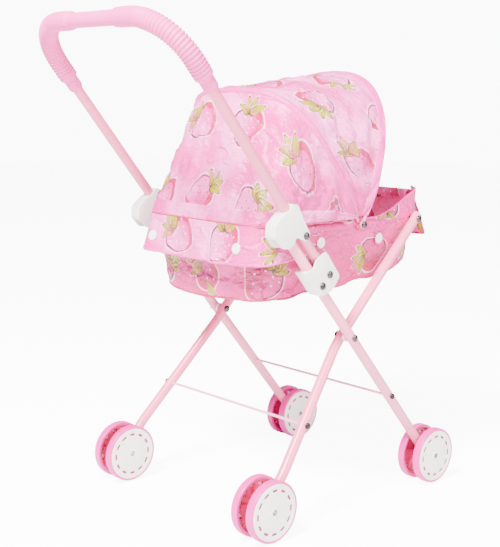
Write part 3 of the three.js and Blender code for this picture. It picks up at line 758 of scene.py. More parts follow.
def wheel_inside():
    """Hub, slotted web, inner wall and the thin ribs from the hub to the rim, behind the web."""
    hub = solid_ring([(2.8, 7.0), (6.5, 7.0), (6.5, 14.0), (2.8, 14.0)], 0.5, 48)
    web = slotted_disc(4.0, 32.0, 13.0, 14.3, 0.4, turned=SLOT_STEP / 2)
    wall = solid_ring([(30.7, 8.0), (31.1, 8.0), (31.8, 13.6), (30.9, 13.6)], 0.1)
    ribs = []
    for k in range(RIB_COUNT):
        t = 2 * math.pi * k / RIB_COUNT + SLOT_STEP / 2
        across = Vector((0, -math.sin(t), math.cos(t))) * (0.5 * MM)
        corners = [around_axle(x, r, t) for r, x in ((6.2, 9.5), (30.5, 11.0), (30.5, 13.2), (6.2, 13.2))]
        ribs.append(loft([[p - across for p in corners], [p + across for p in corners]]))
    return joined(hub, web, wall, *ribs)


def slot_shade_dashes():
    """Raised dashes in dark pink behind the cover's slots: painted shade for the shadow seen through the
    slots.
    """
    low, high = SLOT_RADIUS - 0.46 * SLOT_WIDTH, SLOT_RADIUS + 0.46 * SLOT_WIDTH
    section = [(low, 14.2), (high, 14.2), (high, 16.4), (low, 16.4)]
    dashes = []
    for k in range(SLOT_COUNT):
        turns = np.linspace(-0.47, 0.47, 5) * SLOT_ANGLE + k * SLOT_STEP
        dashes.append(loft([[around_axle(x, r, t) for r, x in section] for t in turns]))
    return joined(*dashes)


def wheel_cover():
    disc = slotted_disc(3.2, 32.0, 14.7, 17.0, 0.5, (7.5, 29.4))
    boss = solid_ring([(3.2, 16.8), (6.0, 16.8), (5.4, 17.5), (3.2, 17.5)], 0.3, 48)
    return joined(disc, boss, solid_ring([(28.9, 16.8), (29.7, 16.8), (29.7, 17.3), (28.9, 17.3)], 0.2))


TREAD = [(34.6, 7.2), (35, 8.2), (35, 15.8), (34.6, 16.8), (32.3, 16.8), (32.0, 14.2), (31.0, 7.2)]
tread, inside, dashes, cover = solid_ring(TREAD, 0.5), wheel_inside(), slot_shade_dashes(), wheel_cover()
PIN = [(0, -17.9), (1.8, -17.8), (2.5, -17.0), (2.5, 17.0), (1.8, 17.8), (0, 17.9)]
pin = lathe(scaled(PIN), (0, 0, 0), 32)


def moved(part, centre, face=1):
    """A wheel part at its axle; face -1 turns it to look inwards."""
    return [Vector((centre.x + v[0] * face, centre.y + v[1], centre.z + v[2])) for v in part[0]], part[1]


for end, axle in (("front", FRONT_AXLE), ("rear", REAR_AXLE)):
    for side_name, side in SIDES:
        body = end + "_wheels_" + side_name
        for which, face in (("outer", 1), ("inner", -1)):
            stem = end + "_wheel_" + which
            node = stem + "_" + side_name
            shown(node, moved(tread, axle, face), wheel_pink, body, side)
            solid("inside_" + node, moved(inside, axle, face), wheel_deep, body, side)
            # the dark dashes behind the cover's slots are painted shade
            solid("dashes_" + node, moved(dashes, axle, face), slot_shade_paint, body, side)
            cover_node = stem + "_cover_" + side_name
            shown(cover_node, moved(cover, axle, face), white_plastic, body, side, smooth=35)
        shown(end + "_wheel_axle_" + side_name, moved(pin, axle), axle_steel, body, side)

# ---------------------------------------------------------------- cloth

FRONT_BOW = dict(tilt=105.6, height=188, half_width=110, base_x=104.7, fullness=2.4)
MID_BOW = dict(tilt=53.4, height=193, half_width=106, base_x=99.4, fullness=3.4)
BOW_FLARE = 45
FLARE_SHARE = 0.2


def bow_point(bow, turn, grow=0.0, base=0.0):
    """A point of a bow, from its right end, turn 0, to its left end, turn 1, as in the CAD model."""
    side = -1 if turn < 0.5 else 1
    from_base = 1 - abs(2 * turn - 1)
    if from_base < FLARE_SHARE:
        rise = base + (BOW_FLARE - base) * from_base / FLARE_SHARE
        t = min(max(rise / BOW_FLARE, 0), 1)
        x = bow["base_x"] + (bow["half_width"] - bow["base_x"]) * t * t * (3 - 2 * t) + grow * (0.7 + 0.3 * t)
    else:
        angle = (from_base - FLARE_SHARE) / (1 - FLARE_SHARE) * math.pi / 2
        power = 2 / bow["fullness"]
        x = (bow["half_width"] + grow) * max(math.cos(angle), 0) ** power
        rise = BOW_FLARE + (bow["height"] + grow - BOW_FLARE) * math.sin(angle) ** power
    return with_x(CANOPY_PIVOT + lean(bow["tilt"]) * (rise * MM), side * x * MM)


def bow_row(bow, count, grow, base):
    """Evenly spaced points along a bow."""
    return spaced([bow_point(bow, i / 400, grow, base) for i in range(401)], count)


def hem_row(count, half_width, rear_y, front_y, corner, z):
    """Points round the back of the seat, from the right side's front end to the left side's."""
    corners = [(-half_width, front_y), (-half_width, rear_y), (half_width, rear_y), (half_width, front_y)]
    return spaced(rounded([at(x, y, z) for x, y in corners], [corner * MM, corner * MM], 16), count)


def grid_normals(grid):
    normals = np.cross(np.gradient(grid, axis=1), np.gradient(grid, axis=0))
    return normals / np.maximum(np.linalg.norm(normals, axis=2, keepdims=True), 1e-9)


def cloth_uv(grid, anchor_row=0, shift=(0.0, 0.0)):
    """Metres of cloth: across from the middle column, and along from the anchor row."""
    across = walked_along(grid, 1)
    along = walked_along(grid, 0)
    across = across - across[:, grid.shape[1] // 2][:, None]
    return np.stack([across, along - along[anchor_row]], axis=2) + np.array(shift)


def creases(uv, seed, wavelengths, direction=None, spread=None):
    """A height between about -1 and 1 over the cloth: the sum of waves in seeded directions."""
    random = np.random.default_rng(seed)
    height = np.zeros(uv.shape[:2])
    u, v = uv[..., 0], uv[..., 1]
    for length in wavelengths:
        low, high = (0, math.pi) if spread is None else (direction - spread, direction + spread)
        angle = random.uniform(low, high)
        sway = np.sin(2 * math.pi * (u * 1.3 - v) / (length * 3.1) + random.uniform(0, 6))
        phase = (u * math.cos(angle) + v * math.sin(angle) + 0.35 * length * sway) / length
        phase = phase + random.uniform(0, 1)
        sharp = 1 - 2 * np.abs(np.sin(math.pi * phase)) ** 0.75
        height += 0.55 * np.sin(2 * math.pi * phase) + 0.6 * sharp
    return height / len(wavelengths)


def sheet_faces(index, other, closed):
    """Quads of a sheet's one side, of its other side, whose points come so much later, and of its rim."""
    corners = (index[:-1, :-1], index[:-1, 1:], index[1:, 1:], index[1:, :-1])
    quads = np.stack(corners, axis=2).reshape(-1, 4)
    faces = [quads, quads[:, ::-1] + other]
    if closed:
        rims = [index[0], index[-1, ::-1]]
    else:
        rims = [np.concatenate([index[0, :-1], index[:-1, -1], index[-1, :0:-1], index[::-1, 0]])]
    for rim in rims:
        here, following = rim[:-1], rim[1:]
        faces.append(np.stack([following, here, here + other, following + other], axis=1))
    return np.concatenate(faces)


GRIDS = {}


def cloth_piece(name, grid, look, body, uv, nodes=(), thickness=1.0 * MM, closed=False):
    """A thin sheet over a grid of points, printed on both faces.

    It thickens away from the middle of the seat, or towards it where the thickness is negative. A closed
    sheet's last column joins its first, and its uv has one column more than its grid.
    """
    GRIDS[name] = grid
    index = np.arange(grid.shape[0] * grid.shape[1]).reshape(grid.shape[:2])
    if closed:
        index = np.concatenate([index, index[:, :1]], axis=1)
        normals = grid_normals(np.concatenate([grid[:, -1:], grid, grid[:, :1]], axis=1))[:, 1:-1]
    else:
        normals = grid_normals(grid)
    away = (normals * (grid - np.array(tuple(INSIDE_SEAT)))).sum() > 0
    outer = grid + normals * (thickness if away else -thickness)
    verts = np.concatenate([grid.reshape(-1, 3), outer.reshape(-1, 3)])
    faces = sheet_faces(index, len(verts) // 2, closed)
    corners = sheet_faces(np.arange(uv.shape[0] * uv.shape[1]).reshape(uv.shape[:2]), 0, closed)
    uvs = uv.reshape(-1, 2)[corners.ravel()]
    return add_piece(name, verts, faces.tolist(), look, body, nodes, uvs, smooth=80)


def line_inside(piece):
    """The faces of a cloth that look towards the middle of the seat show the paler lining side, which carries
    painted light.
    """
    piece.data.materials.append(lining_satin_painted_light.material)
    for face in piece.data.polygons:
        face.material_index = int((INSIDE_SEAT - face.center).dot(face.normal) > 0)


COLUMNS = 141
GROW = 3.0
CANOPY_BASE = 12
LIP_TILT = 2
front_row = bow_row(dict(FRONT_BOW, tilt=FRONT_BOW["tilt"] + LIP_TILT), COLUMNS, GROW, CANOPY_BASE)
mid_row = bow_row(MID_BOW, COLUMNS, GROW, CANOPY_BASE)
hem = hem_row(COLUMNS, 104, 134, -8, 30, 345)


def panel(first, last, rows, sag, seed, wrinkle, pulls):
    """Cloth stretched between two edges: it sags between them and creases along its pulls."""
    t = np.linspace(0, 1, rows)[:, None]
    s = np.linspace(-1, 1, len(first))[None, :]
    grid = first * (1 - t[..., None]) + last * t[..., None]
    uv = cloth_uv(grid)
    held = np.sin(math.pi * t)
    top = np.clip(1 - np.abs(s) ** 3, 0, 1)
    depth = -sag * held * (0.35 + 0.65 * top)
    depth = depth + wrinkle * held ** 0.6 * creases(uv, seed, (0.11, 0.07, 0.052, 0.038), *pulls)
    depth = depth + 0.3 * wrinkle * held ** 0.5 * creases(uv, seed + 7, (0.021, 0.017, 0.013, 0.026))
    # it stands out less at the sides, next to the handle
    depth = np.where(depth > 0, depth * (1 - 0.65 * s**2), depth)
    return grid + grid_normals(grid) * (depth * MM)[..., None]


front_panel = panel(front_row, mid_row, 80, -1.0, 3, 6.6, (1.5, 0.7))
rear_panel = panel(mid_row, hem, 84, -2.5, 11, 7.6, (1.35, 0.7))
seam_row = len(front_panel) - 1
canopy_uv = cloth_uv(np.concatenate([front_panel[:-1], rear_panel]), seam_row)
front_piece = cloth_piece("canopy_front_cloth", front_panel, canopy_satin, None, canopy_uv[: seam_row + 1],
                          ["canopy_front_panel"])
rear_piece = cloth_piece("canopy_rear_cloth", rear_panel, canopy_satin, None, canopy_uv[seam_row:],
                         ["canopy_rear_panel"])
line_inside(front_piece)
line_inside(rear_piece)


def walked(grid, distances):
    """Points and outward normals at distances down each column of a grid. Negative ones are above it."""
    normals = grid_normals(grid)
    lengths = walked_along(grid)
    points = np.zeros((len(distances), grid.shape[1], 3))
    facing = np.zeros_like(points)
    before = distances < 0
    for j in range(grid.shape[1]):
        for k in range(3):
            points[:, j, k] = np.interp(distances, lengths[:, j], grid[:, j, k])
            facing[:, j, k] = np.interp(distances, lengths[:, j], normals[:, j, k])
        back = (grid[0, j] - grid[1, j]) / max(lengths[1, j], 1e-6)
        points[before, j] = grid[0, j] - back * distances[before, None]
    return points, facing


BAND_HEIGHT = 2.1 * MM
BAND_EDGE = 0.05 * MM
GATHER_LENGTHS = (0.009, 0.013, 0.021)


def band(name, grid, distances, low, look, body, seed, pucker=0.25 * MM, ends=1.0):
    """A flat gathered hem over a cloth near its grid's first row. Its ends are a share of its size."""
    points, facing = walked(grid, distances)
    near_end = np.clip(np.abs(np.linspace(-1, 1, grid.shape[1])) * 5 - 4, 0, 1)
    size = (1 - (1 - ends) * near_end)[None, :, None]
    middle = points[len(distances) // 2]
    points = middle + (points - middle) * size
    walk = walked_along(points.mean(axis=0))
    random = np.random.default_rng(seed)
    gather = sum(np.sin(2 * math.pi * walk / w + random.uniform(0, 6)) for w in GATHER_LENGTHS)
    share = np.linspace(-1, 1, len(distances))
    crown = np.sqrt(np.clip(1 - share**4, 0, 1))[:, None]
    across = np.sin(np.linspace(0, math.pi, len(distances)))[:, None]
    raised = (BAND_HEIGHT * crown + BAND_EDGE) + pucker * gather[None, :] * across / 2
    outer = points + facing * raised[..., None] * size
    inner = points - facing * (low * crown + BAND_EDGE)[..., None] * size
    sections = np.concatenate([outer, inner[::-1]])
    verts, faces = loft([[Vector(p) for p in sections[:, j]] for j in range(grid.shape[1])])
    girth = np.concatenate([distances, distances[::-1]])
    uvs = [(along, around) for along in walk for around in girth]
    return add_piece(name, verts, faces, look, body, uvs=uvs, smooth=80)


def piping(name, path, radius, look, body, seed, closed=False):
    """A soft round piping along a path, a little uneven along its length."""
    phase = np.random.default_rng(seed).uniform(0, 6, 3)
    unevenness = [sum(math.sin(i * f + p) for f, p in zip((0.9, 1.7, 0.37), phase)) for i in range(len(path))]
    radii = [radius * (1 + 0.07 * u) for u in unevenness]
    verts, faces = tube(path, radii, 14, dome=0 if closed else radius * 0.8, closed=closed)
    uvs = [(v[0] + v[1] * 0.7, v[2]) for v in verts]
    return add_piece(name, verts, faces, look, body, uvs=uvs, smooth=80)


binding_walk = np.linspace(-1.5, 12.5, 12) * MM
front_binding = band("canopy_front_binding", front_panel, binding_walk, 1.0 * MM, binding_satin, None, 5)

for piece in (front_piece, front_binding):
    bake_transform(piece)

# the sleeve of the middle bow lies over the seam between the two panels
SLEEVE_WIDTH = 9.6
seam_walk = np.linspace(0, SLEEVE_WIDTH / 2, 7) * MM
before_seam, after_seam = [walked(grid, seam_walk)[0] for grid in (front_panel[::-1], rear_panel)]
seam_points = np.concatenate([before_seam[:0:-1], after_seam])
sleeve_walk = np.linspace(0.0, SLEEVE_WIDTH, 13) * MM
sleeve = band("canopy_mid_sleeve", seam_points, sleeve_walk, 1.2 * MM, binding_satin, "canopy_mid", 9,
              ends=0.25)

hem_walk = np.linspace(-2, 17, 16) * MM
hem_band = band("canopy_hem_band", rear_panel[::-1, ::-1], hem_walk, 1.0 * MM, canopy_satin, None, 13,
                pucker=0.7 * MM)
hem_facing = grid_normals(rear_panel)[-1]
hem_line = [Vector(p) - UP * (2.5 * MM) + Vector(n) * (1.2 * MM) for p, n in zip(rear_panel[-1], hem_facing)]
hem_piping = piping("canopy_hem_piping", even(hem_line, 3 * MM), 1.25 * MM, trim_satin, None, 4)

for piece in (rear_piece, hem_band, hem_piping):
    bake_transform(piece)

# ---------------------------------------------------------------- bows and seat rim


def eye(bow):
    profile = softened([(2.3, -1.5), (5, -1.5), (5, 1.5), (2.3, 1.5)], 0.4)
    return lathe(profile, with_x(CANOPY_PIVOT, bow["base_x"] * MM), 32, closed=True)


for body, bow in (("canopy_front", FRONT_BOW), ("canopy_mid", MID_BOW)):
    wire = tube([Vector(p) for p in bow_row(bow, 121, 0, 3.5)], 2 * MM, 16, dome=0.5 * MM)
    ring = eye(bow)
    shown(body + "_bow", joined(wire, ring, (mirror(ring[0], -1), ring[1])), paint, body)


def rim_z(y):
    """Height in millimetres of the rim's side at a place of the CAD model."""
    seat_y = (SEAT_PIVOT.y - Y_ZERO) / MM
    seat_z = SEAT_PIVOT.z / MM
    return LEG_TOP_Z + (seat_z - LEG_TOP_Z) * (y - LEG_TOP_Y) / (seat_y - LEG_TOP_Y)


RIM_X = 92
RIM_RADIUS = 4.5
RIM_REAR_Y = 121
RIM_FRONT_Y = -149
RIM_FRONT_RISE = 26
RIM_FRONT_Z = rim_z(LEG_TOP_Y) + RIM_FRONT_RISE
rim_half = rounded(
    [
        at(0, RIM_REAR_Y, rim_z(RIM_REAR_Y)),
        at(RIM_X, RIM_REAR_Y, rim_z(RIM_REAR_Y)),
        at(RIM_X, -125, rim_z(-125)),
        at(RIM_X - 14, RIM_FRONT_Y, RIM_FRONT_Z),
        at(0, RIM_FRONT_Y, RIM_FRONT_Z),
    ],
    [32 * MM, 14 * MM, 16 * MM],
    12,
)
rim_loop = rim_half + mirror(rim_half[1:-1], -1)[::-1]


def even_loop(path, step):
    """A closed path walked in equal steps."""
    return even([*path, path[0]], step)[:-1]


shown("seat_rim", tube(even_loop(rim_loop, 4 * MM), RIM_RADIUS * MM, 24, closed=True), paint, "seat")

# ---------------------------------------------------------------- basket

BOTTOM_FRONT_Y = -143
BOTTOM_REAR_Y = 117
BOTTOM_EDGE = ((BOTTOM_FRONT_Y, 285), (-128, 282), (-85, 272), (17, 262), (53, 260), (BOTTOM_REAR_Y, 258))
CASING = 5.7  # the fabric's radius round the rim
CASING_TURN = (-150, -120, -95, -65, -35, 0, 35, 65, 90, 118, 145, 165)  # from inside the rim to outside it
WALL_ROWS = 34


def bottom_z(x, y):
    """Height of the basket's bottom edge: it follows the sides and sags between the rear corners."""
    z = float(np.interp(y, *zip(*BOTTOM_EDGE)))
    rear = smooth_step(y, 60, BOTTOM_REAR_Y)
    wave = 1.3 * math.sin(y * 0.075 + x * 0.02) + 0.9 * math.sin(y * 0.14 - x * 0.05 + 2)
    return z + wave - 7 * rear * max(math.cos(x / RIM_X * math.pi / 2), 0) ** 0.7


def bottom_point(p):
    """The place on the basket's bottom edge below a point of the rim."""
    share = ((p.y - Y_ZERO) / MM - RIM_FRONT_Y) / (RIM_REAR_Y - RIM_FRONT_Y)
    y = BOTTOM_FRONT_Y + share * (BOTTOM_REAR_Y - BOTTOM_FRONT_Y)
    return at(p.x / MM * 0.985, y, bottom_z(p.x / MM, y))


def outward(step, point):
    """The direction across a step in plan that looks away from the middle of the seat."""
    out = Vector((step.y, -step.x, 0)).normalized()
    return -out if out.dot(point - INSIDE_SEAT) < 0 else out


rim_columns = even_loop(rim_loop, 2.6 * MM)
rim_after = rim_columns[1:] + rim_columns[:1]
rim_out = [outward(rim_after[i] - rim_columns[i - 1], p) for i, p in enumerate(rim_columns)]
edge = [bottom_point(p) for p in rim_columns]


def basket_walls():
    """Rows of points over the rim, from its inside below to its outside, and then down to the bottom edge."""
    rows = []
    for angle in CASING_TURN:
        s, c = math.sin(math.radians(angle)), math.cos(math.radians(angle))
        rows.append([p + (n * s + UP * c) * (CASING * MM) for p, n in zip(rim_columns, rim_out)])
    top_row = [p + n * (CASING * MM) - UP * (2 * MM) for p, n in zip(rim_columns, rim_out)]
    for t in np.linspace(0, 1, WALL_ROWS + 1):
        row = []
        for top, low, n in zip(top_row, edge, rim_out):
            billow = math.sin(math.pi * t) * (-1.6 + 3.0 * max(n.y, 0) + 2.0 * max(-n.y, 0))
            row.append(top.lerp(low, t) + n * (billow * MM))
        rows.append(row)
    return np.array([[tuple(p) for p in row] for row in rows])


def crumpled(walls, run):
    """The walls with folds that lean one way or the other as they go down, and a gathered casing."""
    share = np.clip((np.arange(len(walls)) - len(CASING_TURN)) / WALL_ROWS, 0, 1)[:, None]
    around = 2 * math.pi * run[None, :-1] / run[-1]
    random = np.random.default_rng(21)
    folds = np.zeros(walls.shape[:2])
    for waves in (5, 8, 13, 21, 34, 55):
        slant = random.uniform(-2.2, 2.2)
        height = random.uniform(0.6, 1.2) / (1 + waves / 30)
        folds += height * np.sin(waves * around + slant * waves / 5 * share * 2 + random.uniform(0, 6))
    level = np.sin(2 * math.pi * (share * 2.3 + 0.25 * np.sin(2 * around + 1)) + 0.8)
    crumple = (folds * 0.75 * 1.25 + level * 0.9) * np.sin(math.pi * share) ** 0.7
    pucker = 0.18 * np.sin(118 * around + 2 * np.sin(9 * around)) * (share <= 0)
    return walls + np.array([tuple(n) for n in rim_out]) * ((crumple + pucker) * MM)[..., None]


walls = basket_walls()
run = walked_along(np.concatenate([walls[-1], walls[-1, :1]]))
falls = walked_along(walls).mean(axis=1)
side_uv = np.stack(np.meshgrid(run, falls[len(CASING_TURN)] - falls), axis=2)
sides = crumpled(walls, run)
basket_sides = cloth_piece("basket_sides", sides, basket_satin, "seat", side_uv, ["basket"], closed=True)
line_inside(basket_sides)

# the floor hangs between the bottom edges, lowest behind its middle
FLOOR_RINGS = 26
FLOOR_MIDDLE = np.array(tuple(at(0, 12, 249)))
edge_ring = np.array([tuple(p) for p in edge])


def floor_ring(t):
    """The bottom edge drawn in towards the middle of the floor, for t from 0 to 1."""
    share = 1 - t * 0.995
    ring = edge_ring * share + FLOOR_MIDDLE * (1 - share)
    hang = math.sin(math.pi / 2 * min(t * 1.6, 1))
    level = edge_ring[:, 2] * share**1.6 + FLOOR_MIDDLE[2] * (1 - share**1.6)
    ring[:, 2] = ring[:, 2] * (1 - hang) + level * hang
    return ring


floor_shares = np.linspace(1, 0, FLOOR_RINGS + 1)
floor_grid = np.array([floor_ring(t) for t in floor_shares])
floor_plan = np.concatenate([floor_grid, floor_grid[:, :1]], axis=1)[..., :2] + 0.31
floor_waves = creases(floor_plan[:, :-1], 31, (0.09, 0.06, 0.045, 0.03)) * 1.8 * MM
floor_grid[..., 2] += floor_waves * np.abs(np.sin(math.pi * floor_shares))[:, None] ** 0.6
basket_floor = cloth_piece("basket_floor", floor_grid, basket_satin, "seat", floor_plan, thickness=-1.0 * MM,
                           closed=True)
line_inside(basket_floor)

edge_path = even_loop(edge, 3 * MM)
edge_piping = piping("basket_edge_piping", edge_path, 1.7 * MM, trim_satin, "seat", 8, closed=True)

# a pink tape over each upright corner seam
corner_tapes = []
for k, (x, y) in enumerate(((84, 113), (-84, 113), (84, BOTTOM_FRONT_Y), (-84, BOTTOM_FRONT_Y))):
    column = min(range(len(rim_columns)), key=lambda j: (rim_columns[j] - at(x, y, 0)).xy.length)
    path = [Vector(p) + rim_out[column] * (1.0 * MM) for p in sides[len(CASING_TURN) :, column]]
    name = "basket_corner_tape_%d" % (k + 1)
    corner_tapes.append(piping(name, even(path, 2.5 * MM), 1.35 * MM, trim_satin, "seat", 40 + k))

# ---------------------------------------------------------------- front apron, rear skirt and snaps


def free_edge(grid, first):
    """The edge of a hanging cloth: down one side from a row, along its low edge and up the other side."""
    return even([*grid[first:-1, 0], *grid[-1], *grid[-2 : first - 1 : -1, -1]], 2.5 * MM)


SKIRT_ROWS = 22
SKIRT_DEPTH = 43
SKIRT_RISE = 8  # its low edge is that much higher at its two ends
SKIRT_FLARE = 9.5
SKIRT_WAVE = 4.4
SKIRT_WAVE_RATES = (95, 61, 140, 210)


def skirt():
    """Cloth that hangs from behind the rim, stands out at its low edge and waves there."""
    path = [Vector(p) for p in hem_row(121, 101.5, 136.6, 92, 31, 343)]
    last = len(path) - 1
    walk = walked_along(np.array(path))
    phases = np.random.default_rng(51).uniform(0, 6, 4)
    grid = np.zeros((SKIRT_ROWS + 1, len(path), 3))
    for j, p in enumerate(path):
        out = outward(path[min(j + 1, last)] - path[max(j - 1, 0)], p)
        ripple = sum(math.sin(walk[j] * f + phase) for f, phase in zip(SKIRT_WAVE_RATES, phases)) / 3
        drop = SKIRT_DEPTH - SKIRT_RISE * abs(2 * j / last - 1) ** 6
        for i in range(SKIRT_ROWS + 1):
            share = i / SKIRT_ROWS * MM
            grid[i, j] = p + out * ((SKIRT_FLARE + SKIRT_WAVE * ripple) * share) - UP * (drop * share)
    return grid


skirt_grid = skirt()
skirt_uv = cloth_uv(skirt_grid, shift=(0.013, 0.021))
rear_skirt = cloth_piece("rear_skirt", skirt_grid, canopy_satin, "seat", skirt_uv, ["rear_flap"])
skirt_piping = piping("rear_skirt_piping", free_edge(skirt_grid, 4), 1.5 * MM, binding_satin, "seat", 15)

APRON_ROWS = 24
APRON_TURN = (-110, -80, -50, -20, 5, 30, 55, 75)  # from inside the front bar to outside it
APRON_HALF = 79
APRON_RADIUS = 6.6
APRON_DEPTH = 50
FRONT_BAR_Z = RIM_FRONT_Z + 0.6


def apron_point(s, t):
    """A point of the apron's outside, s from -1 to 1 across and t from 0 to 1 down, where it is wider."""
    edge_share = abs(s)
    wave = 1.1 * math.sin(s * 9 + 1) + 0.7 * math.sin(s * 17 + t * 3)
    y = RIM_FRONT_Y - APRON_RADIUS - 9 * t * (0.35 + 0.65 * edge_share**2) - t * wave
    y += 5 * max(edge_share - 0.8, 0) * (1 - t)
    z = FRONT_BAR_Z - t * (APRON_DEPTH - 5 * (1 - edge_share) + 1.5 * math.sin(s * 7))
    return tuple(at(s * (APRON_HALF + 16 * t**0.8), y, z))


def casing_point(s, angle):
    """A point of the apron's casing round the front bar."""
    out, rise = APRON_RADIUS * math.sin(math.radians(angle)), APRON_RADIUS * math.cos(math.radians(angle))
    return tuple(at(APRON_HALF * s, RIM_FRONT_Y - out, FRONT_BAR_Z + rise))


apron_columns = np.linspace(-1, 1, 91)
apron_grid = np.array(
    [[casing_point(s, angle) for s in apron_columns] for angle in APRON_TURN]
    + [[apron_point(s, i / APRON_ROWS) for s in apron_columns] for i in range(APRON_ROWS + 1)]
)
apron_uv = cloth_uv(apron_grid, shift=(0.009, 0.047))
front_apron = cloth_piece("front_apron", apron_grid, basket_satin, "seat", apron_uv)
line_inside(front_apron)
apron_edge = free_edge(apron_grid, len(APRON_TURN))
apron_piping = piping("front_apron_piping", apron_edge, 1.2 * MM, trim_satin, "seat", 17)


# each side's cloth sweeps up from the rim to the front bar
WING_ROWS = 14
wing_path = even(rounded([at(97.2, -22, 0), at(97.2, -146, 0), at(77, -154.5, 0)], [17 * MM], 16), 2.5 * MM)


def wing_point(p, j, t):
    """A point of the left wing above the place p in plan, column j, with t from 0 below to 1 above."""
    forward = (Y_ZERO - p.y) / MM
    turned_down = 20 * smooth_step(forward, 118, 154)
    base = rim_z(-forward) - 9 + turned_down
    lift = 15 + 31 * smooth_step(forward, 55, 158) ** 1.15 - turned_down
    soft = 0.7 * math.sin(j * 0.21 + t * 2) * math.sin(math.pi * t)
    return p.x + soft * MM - 0.4 * MM * t, p.y, (base + lift * t) * MM


wing_shares = [i / WING_ROWS for i in range(WING_ROWS + 1)]
wing = np.array([[wing_point(p, j, t) for j, p in enumerate(wing_path)] for t in wing_shares])
wings, wing_edges = [], []
for side_name, side in SIDES:
    grid = wing * (side, 1, 1)
    uv = cloth_uv(grid, shift=(0.03 * side, 0.011))
    wings.append(cloth_piece("basket_wing_" + side_name, grid, basket_satin, "seat", uv, thickness=0.8 * MM))
    line_inside(wings[-1])
    path = [Vector(p) for p in grid[-1]]
    wing_edges.append(piping("basket_wing_edge_" + side_name, path, 1.1 * MM, binding_satin, "seat", 71))

# each side snap's end, y and z, and how far along the print its tab is
SNAP_PLACES = (("rear", 32, 319, 0.05), ("front", -70, 317, -0.02))
TAB_X = 97.9
TAB_ROWS = 15
TAB_COLUMNS = 13


def tab_point(y, z, i, j):
    """A point of the left side's pointed tab that carries the snap at y, z."""
    t, s = i / (TAB_ROWS - 1), 2 * j / (TAB_COLUMNS - 1) - 1
    top, low = rim_z(y) + 3, z - 8.5
    half = 21 - 14.5 * smooth_step(t, 0, 0.75)
    tip = 5.0 * (1 - math.sqrt(1 - s**2)) * smooth_step(t, 0.55, 1)
    return tuple(at(TAB_X - 0.5 * (1 - t), y + s * half, top + (low - top) * t + tip))


tabs = []
for side_name, side in SIDES:
    for end, y, z, along in SNAP_PLACES:
        tab = np.array([[tab_point(y, z, i, j) for j in range(TAB_COLUMNS)] for i in range(TAB_ROWS)])
        grid = tab * (side, 1, 1)
        name = "snap_tab_%s_%s" % (end, side_name)
        uv = cloth_uv(grid, shift=(0.02, along))
        tabs.append(cloth_piece(name, grid, basket_satin, "seat", uv, thickness=0.6 * MM))

SNAP_RIM = [(0, 0), (6.2, 0), (6.4, 0.5), (6.0, 1.2), (4.9, 1.8)]
SNAP = scaled([*SNAP_RIM, (4.0, 1.8), (3.6, 1.3), (2.0, 1.2), (0, 1.4)])
for side_name, side in SIDES:
    for end, y, z, along in SNAP_PLACES:
        snap = lathe([(r, (TAB_X + 0.5) * MM + x * 0.7) for r, x in SNAP], at(0, y, z), 40)
        shown("snap_%s_%s" % (end, side_name), snap, snap_plastic, "seat", side, smooth=35)
    # on the skirt, facing as it does there
    distance = np.linalg.norm(skirt_grid - np.array(tuple(at(side * 74, 145, 318))), axis=2)
    nearest = np.unravel_index(distance.argmin(), distance.shape)
    facing = Vector(grid_normals(skirt_grid)[nearest])
    turn = Vector((1, 0, 0)).rotation_difference(facing)
    verts, faces = lathe(SNAP, (0, 0, 0), 40)
    verts = [Vector(skirt_grid[nearest]) + facing * (1.1 * MM) + turn @ v for v in verts]
    solid("skirt_snap_" + side_name, (verts, faces), snap_plastic, "seat", smooth=35)

# ---------------------------------------------------------------- cloth areas, worked out and not kept


def declare(piece, size=None):
    """The area of a cloth from its own surface, held between 0.31 and 1 times its widest row by its longest
    column, or the size given; it is worked out and not kept.
    """
    grid = GRIDS[piece.name]
    down, along = np.diff(grid, axis=0), np.diff(grid, axis=1)
    surface = float(np.linalg.norm(np.cross(down[:, :-1], along[:-1]), axis=2).sum())
    widest, longest = walked_along(grid, 1)[:, -1].max(), walked_along(grid, 0)[-1].max()
    width, length = size or (float(widest), float(longest))
    area = min(max(surface, 0.31 * width * length), width * length)
    round(area - 5e-6, 5)


def floor_across(axis):
    """The floor's length through its middle, along X or Y."""
    spokes = walked_along(floor_grid)[-1]
    from_middle = edge_ring - FLOOR_MIDDLE
    off_line = np.abs(from_middle[:, 1 - axis])
    ends = [np.argmin(np.where(way * from_middle[:, axis] > 0, off_line, 1.0)) for way in (1, -1)]
    return float(spokes[ends].sum())


declare(front_piece)
declare(rear_piece)
declare(basket_sides)
declare(basket_floor, size=(floor_across(0), floor_across(1)))
declare(rear_skirt)
declare(front_apron)
for piece, its_edge in zip(wings, wing_edges):
    declare(piece)
for piece in tabs:
    declare(piece)

for piece in (basket_sides, basket_floor, edge_piping, *corner_tapes):
    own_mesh(piece)

# ---------------------------------------------------------------- floor, light and camera

ROOM_LIGHT = 0.6
BACKDROP_LIGHT = 10.5
FLOOR_GLOW = 9.3
FLOOR_HALF = 6
FLOOR_Z = -1.5 * MM
LIT = (0, 0, 0.28)


def collected(kind, data):
    made = bpy.data.objects.new(kind, data)
    bpy.context.scene.collection.objects.link(made)
    return made


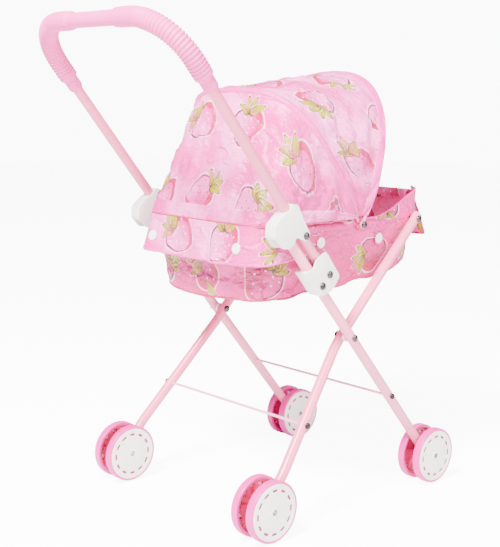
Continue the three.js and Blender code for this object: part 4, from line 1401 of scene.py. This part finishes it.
def pale_floor():
    """A pale floor that looks as bright to the camera as the backdrop does."""
    look = Look("pale_floor", None, 0.6, emission_color=(1, 1, 1, 1))
    look.feed("Emission Strength", look.value("LightPath", "Is Camera Ray") * FLOOR_GLOW)
    look.feed("Base Color", look.mix(look.noise(look.place(), 1.5, 2), 0xFAFAFA, 0xF7F7F7))
    corners = [(x * FLOOR_HALF, y * FLOOR_HALF, FLOOR_Z) for x, y in ((-1, -1), (1, -1), (1, 1), (-1, 1))]
    mesh = bpy.data.meshes.new("floor")
    mesh.from_pydata(corners, [], [(0, 1, 2, 3)])
    mesh.materials.append(look.material)
    return collected("floor", mesh)


pale_floor()

world = bpy.data.worlds.new("studio")
bpy.context.scene.world = world
world.use_nodes = True
background = world.node_tree.nodes["Background"]
background.inputs["Color"].default_value = (1, 1, 1, 1)
seen = world.node_tree.nodes.new("ShaderNodeMapRange")
seen.inputs["To Min"].default_value = ROOM_LIGHT
seen.inputs["To Max"].default_value = BACKDROP_LIGHT
path = world.node_tree.nodes.new("ShaderNodeLightPath")
world.node_tree.links.new(path.outputs["Is Camera Ray"], seen.inputs["Value"])
world.node_tree.links.new(seen.outputs["Result"], background.inputs["Strength"])


def area_light(name, place, size, watts):
    light = bpy.data.lights.new(name, "AREA")
    light.shape = "RECTANGLE"
    light.size = light.size_y = size
    light.energy = watts
    lamp = collected(name, light)
    lamp.location = place
    lamp.rotation_euler = (Vector(LIT) - Vector(place)).to_track_quat("-Z", "Y").to_euler()


area_light("key", (-0.5, 1.5, 2.1), 0.6, 350)
area_light("side", (-2.0, -0.6, 1.2), 1.2, 80)

camera_data = bpy.data.cameras.new("camera")
camera = collected("camera", camera_data)
bpy.context.scene.camera = camera
camera_data.sensor_fit = "HORIZONTAL"
camera_data.sensor_width = 36
camera_data.lens = 78.48
camera_data.shift_x = 0.0162
camera_data.shift_y = -0.0537
camera_data.dof.use_dof = False
camera_forward = Vector((0.73297, -0.66689, -0.13419)).normalized()
camera_right = camera_forward.cross(Vector((0.11001, -0.07846, 0.99083))).normalized()
camera_turn = Matrix((camera_right, camera_right.cross(camera_forward), -camera_forward)).transposed()
camera.matrix_world = Matrix.Translation(at(-963.55, 943.03, 482.46)) @ camera_turn.to_4x4()
